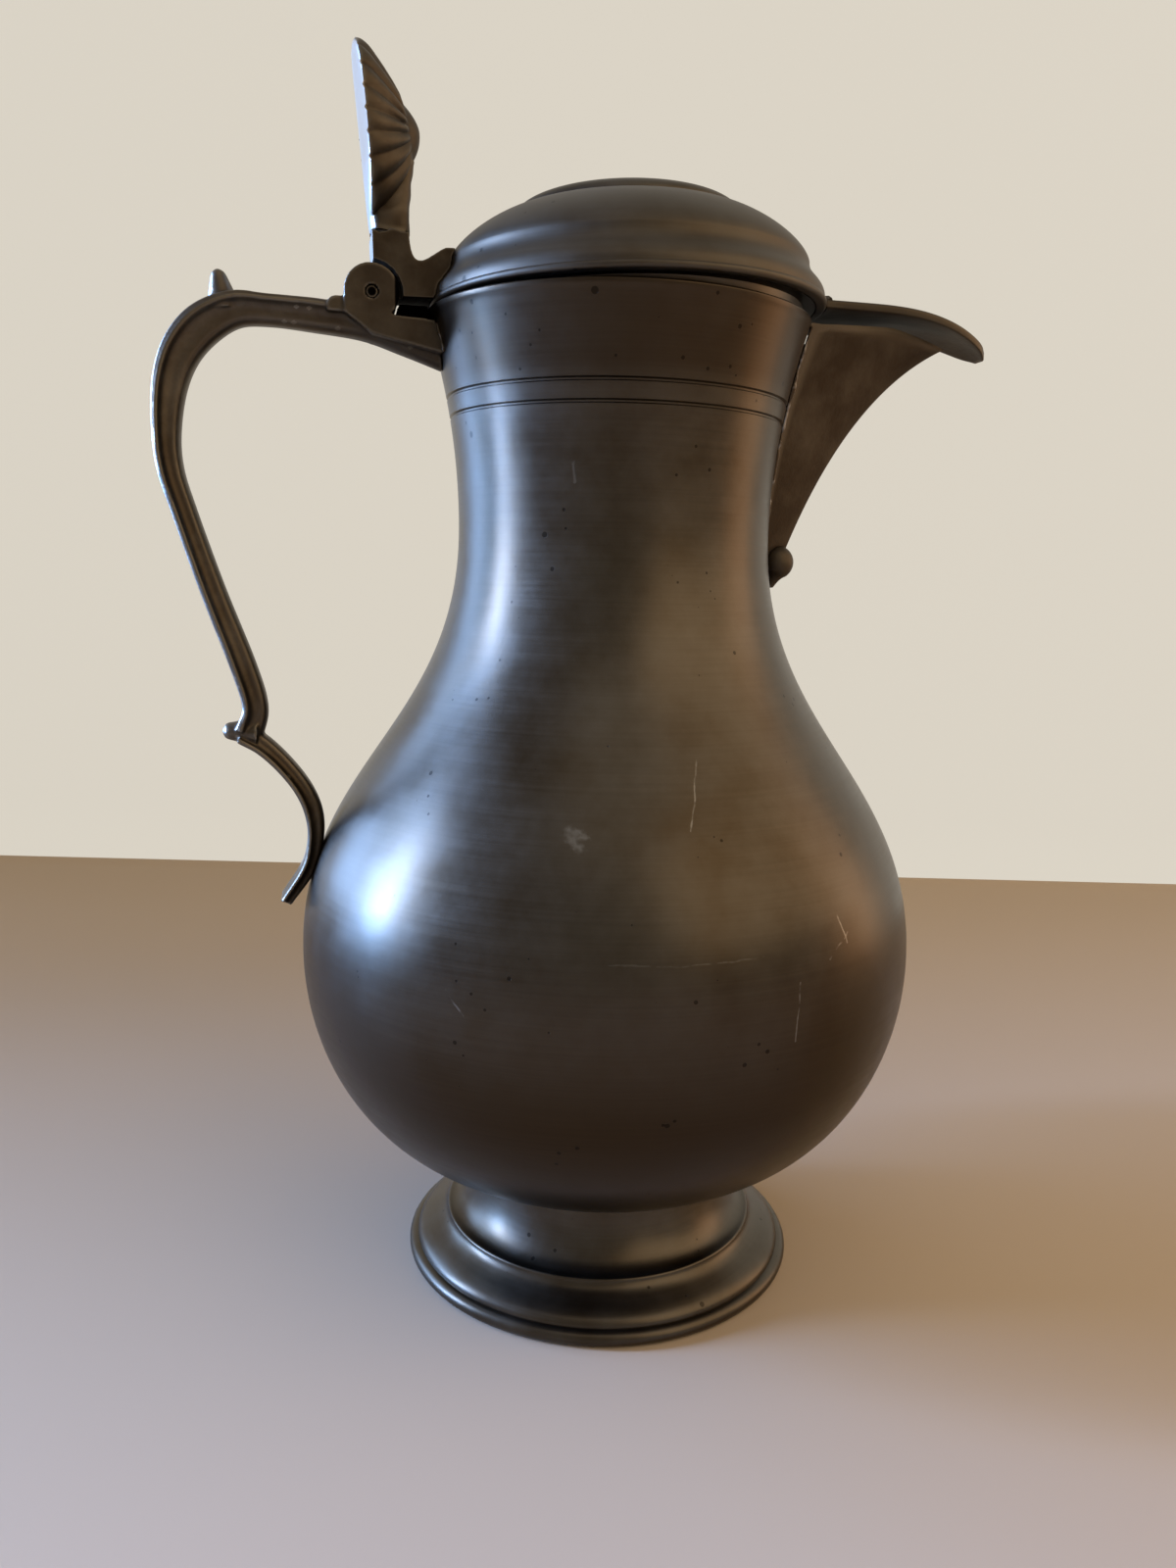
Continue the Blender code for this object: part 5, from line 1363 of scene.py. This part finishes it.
def aim_camera(camera, around):
    """Put the camera where the photograph was taken from, with its lens."""
    yaw, pitch, roll = (math.radians(angle) for angle in CAMERA_ANGLES)
    ahead = Vector((math.sin(yaw), math.cos(yaw), 0.0))
    right = Vector((math.cos(yaw), -math.sin(yaw), 0.0))
    up = Vector((0.0, 0.0, 1.0))
    forward = ahead * math.cos(pitch) - up * math.sin(pitch)
    upward = ahead * math.sin(pitch) + up * math.cos(pitch)
    rolled_right = right * math.cos(roll) + upward * math.sin(roll)
    rolled_up = upward * math.cos(roll) - right * math.sin(roll)
    axes = Matrix((rolled_right, rolled_up, -forward)).transposed().to_4x4()
    camera.matrix_world = around @ Matrix.Translation(CAMERA_PLACE) @ axes
    lens = camera.data
    lens.sensor_fit = "VERTICAL"
    lens.sensor_height = 36.0
    lens.lens = lens.sensor_height * FOCAL_PIXELS / PICTURE_HEIGHT
    lens.clip_start = 0.01


# Operators

class FLAGON_OT_foot(bpy.types.Operator):
    """Turn the foot: rim bead, ogee, fine step and cavetto."""
    bl_idname = "flagon.foot"
    bl_label = "Foot"

    def execute(self, context):
        mesh = turned(foot_outline(context.scene.flagon_foot), metal(TURNED))
        piece("foot_turned", mesh, TURNED, JUG, ["foot"])
        return {"FINISHED"}


class FLAGON_OT_body(bpy.types.Operator):
    """Turn the body in one skin over its two halves and cut it open behind the spout."""
    bl_idname = "flagon.body"
    bl_label = "Body"

    def execute(self, context):
        body, foot, spout = context.scene.flagon_body, context.scene.flagon_foot, context.scene.flagon_spout
        skin = turned(body_outline(body, foot), metal(TURNED))
        # The cut runs this far past the rim and past the neck's wall
        overrun = 0.004
        corners = [
            (-spout.mouth_foot_half_width, spout.mouth_foot_height),
            (spout.mouth_foot_half_width, spout.mouth_foot_height),
            (spout.mouth_top_half_width, body.rim_height + overrun),
            (-spout.mouth_top_half_width, body.rim_height + overrun),
        ]
        ends = (body.neck_radius / 2, body.rim_radius + overrun)
        cutter = lofted([[(x, y, z) for y, z in corners] for x in ends])
        mesh = combined(skin, [("DIFFERENCE", cutter)])
        piece("body_turned", mesh, TURNED, JUG, ["lower_body", "upper_body"])
        return {"FINISHED"}


class FLAGON_OT_spout(bpy.types.Operator):
    """Make the beak with its drop, and the solder along its seam."""
    bl_idname = "flagon.spout"
    bl_label = "Spout"

    def execute(self, context):
        body, spout = context.scene.flagon_body, context.scene.flagon_spout
        # The drop hangs from the keel's foot: a ball on a short point, leaning in with the neck
        ball_height, lean = 0.0062, 0.0017
        ball = arc((0.0, ball_height), (spout.drop_radius, spout.drop_radius), 90, -40, 24)
        point = bezier([ball[-1], (0.0016, 0.0026), (0.0013, 0.0010), (0.0009, 0.0003)], 8)
        drop = turned([(0.0, ball[0][1])] + ball[1:] + point[1:] + [(0.0, 0.0)], sides=48)
        tip = Vector((spout.foot_reach - 0.0031, 0.0, spout.foot_height - 0.0074))
        moved(drop, Matrix.Translation(tip) @ Matrix.Rotation(math.atan2(lean, ball_height), 4, "Y"))
        mesh = combined(beak_mesh(spout, body), [("UNION", drop)])
        # The whole spout is darkened by a fixed share of near-black
        mark(mesh, "grime_and_shade", lambda co, normal: 0.35)
        piece("spout_cast", mesh, CAST, JUG, ["spout"])

        sheet = beak_sheet(spout, body, 0.0, *SHEET_FACES)
        proud = 0.0002
        runs = []
        for column in (0, -1):
            edge = [row[column] for row in sheet[:-1]]
            runs.append([at + Vector((proud, math.copysign(proud, at.y), 0.0)) for at in edge])
        solder("spout_solder", runs, JUG, {})
        return {"FINISHED"}


class FLAGON_OT_handle(bpy.types.Operator):
    """Cast the handle with its spurs and ears, and set the hinge pin."""
    bl_idname = "flagon.handle"
    bl_label = "Handle"

    def execute(self, context):
        handle, body = context.scene.flagon_handle, context.scene.flagon_body
        mesh = softened(handle_mesh(context.scene), voxel=0.00032, rounds=3)
        pin_axis = Vector((-handle.pin_reach, 0.0, handle.pin_height))

        def rubbed(co, normal):
            """The outer face, up to its upturned top, is bare where hands rub it and also a painted highlight
            of the window light; the pin's end wears a ring round its hole.
            """
            ring_radius, ring_half_width = 0.0016, 0.0003
            off_ring = abs((co - pin_axis).xz.length - ring_radius)
            ring = 0.3 if off_ring < ring_half_width and abs(normal.y) > 0.9 else 0.0
            outer = (-normal.x - 0.55) * 3 if co.z > handle.knee_height else (-normal.x - 0.8) * 3
            upper = (normal.z - 0.9) * 5 if co.x < -handle.pin_reach - handle.ear_radius else 0.0
            return max(outer, upper, ring)

        def grime_and_shade(co, normal):
            """Painted shade with some old grease darkens the gap under the lever, the room between the ears
            and the pin's hole, and soot lies on the root.
            """
            from_pin = (co - pin_axis).xz.length
            past_ears = co.x > pin_axis.x + handle.ear_radius - 0.001
            under_lever = past_ears and co.z > handle.top_height - 0.0002
            between_ears = abs(co.y) < handle.hinge_half_width - 0.0006
            inside = from_pin < handle.knuckle_radius + 0.0009 and between_ears
            hole = from_pin < handle.pin_radius + 0.0002
            soot, soot_reach = 0.32, 0.012
            share = (co.x + handle.pin_reach + soot_reach) / soot_reach * soot
            return 1.0 if under_lever or inside or hole else min(max(share, 0.0), soot)

        mark(mesh, "rubbed", rubbed)
        mark(mesh, "grime_and_shade", grime_and_shade)
        piece("handle_cast", mesh, CAST, JUG, ["handle"])

        # Solder squeezed out along the joint between the handle's root and the neck
        side = handle.hinge_half_width + HAIR
        runs = []
        for y in (-side, side):
            heights = [handle.top_height - 0.0012 - 0.0007 * i for i in range(9)]
            runs.append([(-math.sqrt(neck_radius_at(body, z) ** 2 - y * y) - HAIR, y, z) for z in heights])
        solder("handle_solder", runs, JUG, {"Bead radius": 0.00028, "Lumps per metre": 700.0, "Seed": 5.0})

        # The pin's ends are sunk in the ears, with their edges hammered round
        end, radius = handle.hinge_half_width - 0.0004, handle.pin_radius
        tip = [(radius * 0.6, -end), (radius * 0.9, -end + 0.0001), (radius, -end + 0.0003)]
        pin = bar(tip + [(r, -y) for r, y in reversed(tip)], 32)
        moved(pin, Matrix.Translation(pin_axis))
        # The middle of each pin end is near-black, painted shade as in a hole
        mark(pin, "grime_and_shade", lambda co, normal: 1.0 if (co - pin_axis).xz.length < radius * 0.8 else 0.0)
        piece("hinge_pin_peened", pin, CAST, JUG, ["hinge_pin"])
        return {"FINISHED"}


class FLAGON_OT_lid(bpy.types.Operator):
    """Turn the domed lid and the ring that drops into the neck."""
    bl_idname = "flagon.lid"
    bl_label = "Lid"

    def execute(self, context):
        lid = context.scene.flagon_lid
        outside = lid_outline(lid)
        brim_width, lip_height = 0.0022, 0.0018
        lip = lid.radius - brim_width
        vault = [(r, h) for r, h in inset(outside, lid.wall)[::2] if r > 0.0 and h > lid.band_height / 2]
        inner = [(lip, 0.0), (lip, lip_height), *vault, (0.0, outside[-1][1] - lid.wall)]
        mesh = turned(outside[::-1] + inner, metal(TURNED))
        mark(mesh, "dull", lambda co, normal: 1.0)
        piece("lid_turned", on_lid(context.scene, mesh), TURNED, LID, ["lid"])

        # The ring has a flange that seats inside the brim, and tapers down to a bevelled edge
        wall, taper, bevel = 0.0015, 0.0014, 0.0004
        edge, foot, low = lip - SIDE_PLAY, lid.bezel_radius - taper, -lid.bezel_depth
        ring = [
            (foot - bevel, low), (foot, bevel + low), (lid.bezel_radius, 0.0), (edge, 0.0), (edge, wall),
            (lid.bezel_radius - wall, wall), (foot - wall, low),
        ]
        bezel = turned(ring, metal(TURNED))
        piece("lid_bezel_turned", on_lid(context.scene, bezel), TURNED, LID, ["lid_bezel"])
        return {"FINISHED"}


class FLAGON_OT_leaf(bpy.types.Operator):
    """Make the leaf that roofs the spout."""
    bl_idname = "flagon.leaf"
    bl_label = "Leaf over the spout"

    def execute(self, context):
        scene = context.scene
        mesh = on_lid(scene, flap_mesh(scene))
        # The leaf is darkened, most at its root and less towards its tip
        mark(mesh, "grime_and_shade", lambda co, normal: 0.55 - max(co.x - 0.060, 0.0) * 12)
        piece("spout_leaf", mesh, CAST, LID, ["spout_flap"])

        # A lump of solder fills the corner between the leaf's root and the brim, on the near side
        root, height = scene.flagon_lid.radius + HAIR, 0.0016
        run = [(math.sqrt(root**2 - y * y), y, height) for y in (-0.0150, -0.0141, -0.0130, -0.0118, -0.0106)]
        solder("leaf_solder", [run], LID, {"Bead radius": 0.0011, "Lumps per metre": 300.0, "Seed": 8.0},
               to_place=lambda bead: on_lid(scene, bead))
        return {"FINISHED"}


class FLAGON_OT_lever(bpy.types.Operator):
    """Cast the lever between the hinge and the lid, broken off above the knuckle."""
    bl_idname = "flagon.lever"
    bl_label = "Lever"

    def execute(self, context):
        crack_height = context.scene.flagon_lid.crack_height
        mesh = softened(lever_mesh(context.scene), voxel=0.00025, rounds=3)
        # The break's steps fade out over two millimetres below it
        for vert in mesh.vertices:
            near = max(min((vert.co.z - crack_height + 0.0022) / 0.0020, 1.0), 0.0)
            vert.co.z += jag(vert.co.x, vert.co.y) * near
        # The lever's back below the crack is bright: bare where hands rub it, and a painted highlight of the
        # window light
        mark(mesh, "rubbed", lambda co, normal: (-normal.x - 0.6) * 3 if co.z < crack_height else 0.0)
        # Painted shade: the lever's underside is near-black; the rest of the lever is darkened by a fixed
        # share
        mark(mesh, "grime_and_shade", lambda co, normal: 1.0 if normal.z < -0.5 and co.z < 0.0002 else 0.32)
        moved(mesh, lid_place(context.scene, level_origin=False))
        piece("lid_lever_cast", mesh, CAST, LID, ["lid_lever"])
        return {"FINISHED"}


class FLAGON_OT_thumbpiece(bpy.types.Operator):
    """Cast the ribbed shell and its stem."""
    bl_idname = "flagon.thumbpiece"
    bl_label = "Shell thumbpiece"

    def execute(self, context):
        shell, lid = context.scene.flagon_shell, context.scene.flagon_lid
        fan = shell_mesh(shell, lid, metal(CAST))
        mesh = combined(fan, [("UNION", stem_mesh(shell, lid))])

        def rubbed(co, normal):
            """The back of the shell is bright, less towards the tip: bare where the thumb rubs it, and a
            painted highlight of the window light.
            """
            height = (co.z - lid.crack_height) / shell.boss_height
            return (-normal.x - 0.50) * 3 * min(1.0, max(0.25, 1.6 - height))

        def grime_and_shade(co, normal):
            """Darkens every face not turned to the back a little, and the stem more towards the crack."""
            front = 0.22 if normal.x > -0.3 else 0.0
            return max(front, 0.35 - (co.z - lid.crack_height) * 25)

        mark(mesh, "rubbed", rubbed)
        mark(mesh, "grime_and_shade", grime_and_shade)
        moved(mesh, lid_place(context.scene, level_origin=False))
        piece("thumbpiece_cast", mesh, CAST, LID, ["thumbpiece"], angle=60.0)
        return {"FINISHED"}


class FLAGON_OT_stage(bpy.types.Operator):
    """Lay the floor and the backdrop, hang the lamps and set up the camera."""
    bl_idname = "flagon.stage"
    bl_label = "Studio and camera"

    def execute(self, context):
        scene, finish = context.scene, context.scene.flagon_finish
        around = Matrix.Rotation(math.radians(TURN), 4, "Z")
        placed("studio_sweep", sweep_mesh(finish, around))

        world = bpy.data.worlds.new("studio")
        world.use_nodes = True
        background = world.node_tree.nodes["Background"]
        background.inputs["Color"].default_value = linear("#f1e6d6")
        background.inputs["Strength"].default_value = 0.36
        scene.world = world

        for lamp in LAMPS:
            hang_lamp(around, *lamp)
        scene.camera = placed("camera", bpy.data.cameras.new("camera"))
        aim_camera(scene.camera, around)
        scene.view_settings.view_transform = "Standard"
        return {"FINISHED"}


STEPS = (
    FLAGON_OT_foot, FLAGON_OT_body, FLAGON_OT_spout, FLAGON_OT_handle, FLAGON_OT_lid, FLAGON_OT_leaf,
    FLAGON_OT_lever, FLAGON_OT_thumbpiece, FLAGON_OT_stage,
)


class FLAGON_PT_panel(bpy.types.Panel):
    """Sizes, colours and steps of the flagon."""
    bl_label = "Pewter flagon"
    bl_idname = "FLAGON_PT_panel"
    bl_space_type = "VIEW_3D"
    bl_region_type = "UI"
    bl_category = "Flagon"

    def draw(self, context):
        for step in STEPS:
            self.layout.operator(step.bl_idname)
        for name, group in SIZE_GROUPS.items():
            box = self.layout.box()
            box.label(text=group.__doc__)
            for key in group.__annotations__:
                box.prop(getattr(context.scene, name), key)


CLASSES = (*SIZE_GROUPS.values(), *STEPS, FLAGON_PT_panel)


def register():
    """Make the sizes, the steps and the panel known to Blender."""
    for cls in CLASSES:
        bpy.utils.register_class(cls)
    for name, group in SIZE_GROUPS.items():
        setattr(bpy.types.Scene, name, bpy.props.PointerProperty(type=group))


def unregister():
    """Take them away again."""
    for name in SIZE_GROUPS:
        delattr(bpy.types.Scene, name)
    for cls in reversed(CLASSES):
        bpy.utils.unregister_class(cls)


def main():
    """Build the flagon and its studio."""
    register()
    for step in STEPS:
        group, name = step.bl_idname.split(".")
        getattr(getattr(bpy.ops, group), name)()
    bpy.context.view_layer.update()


if __name__ == "__main__":
    main()
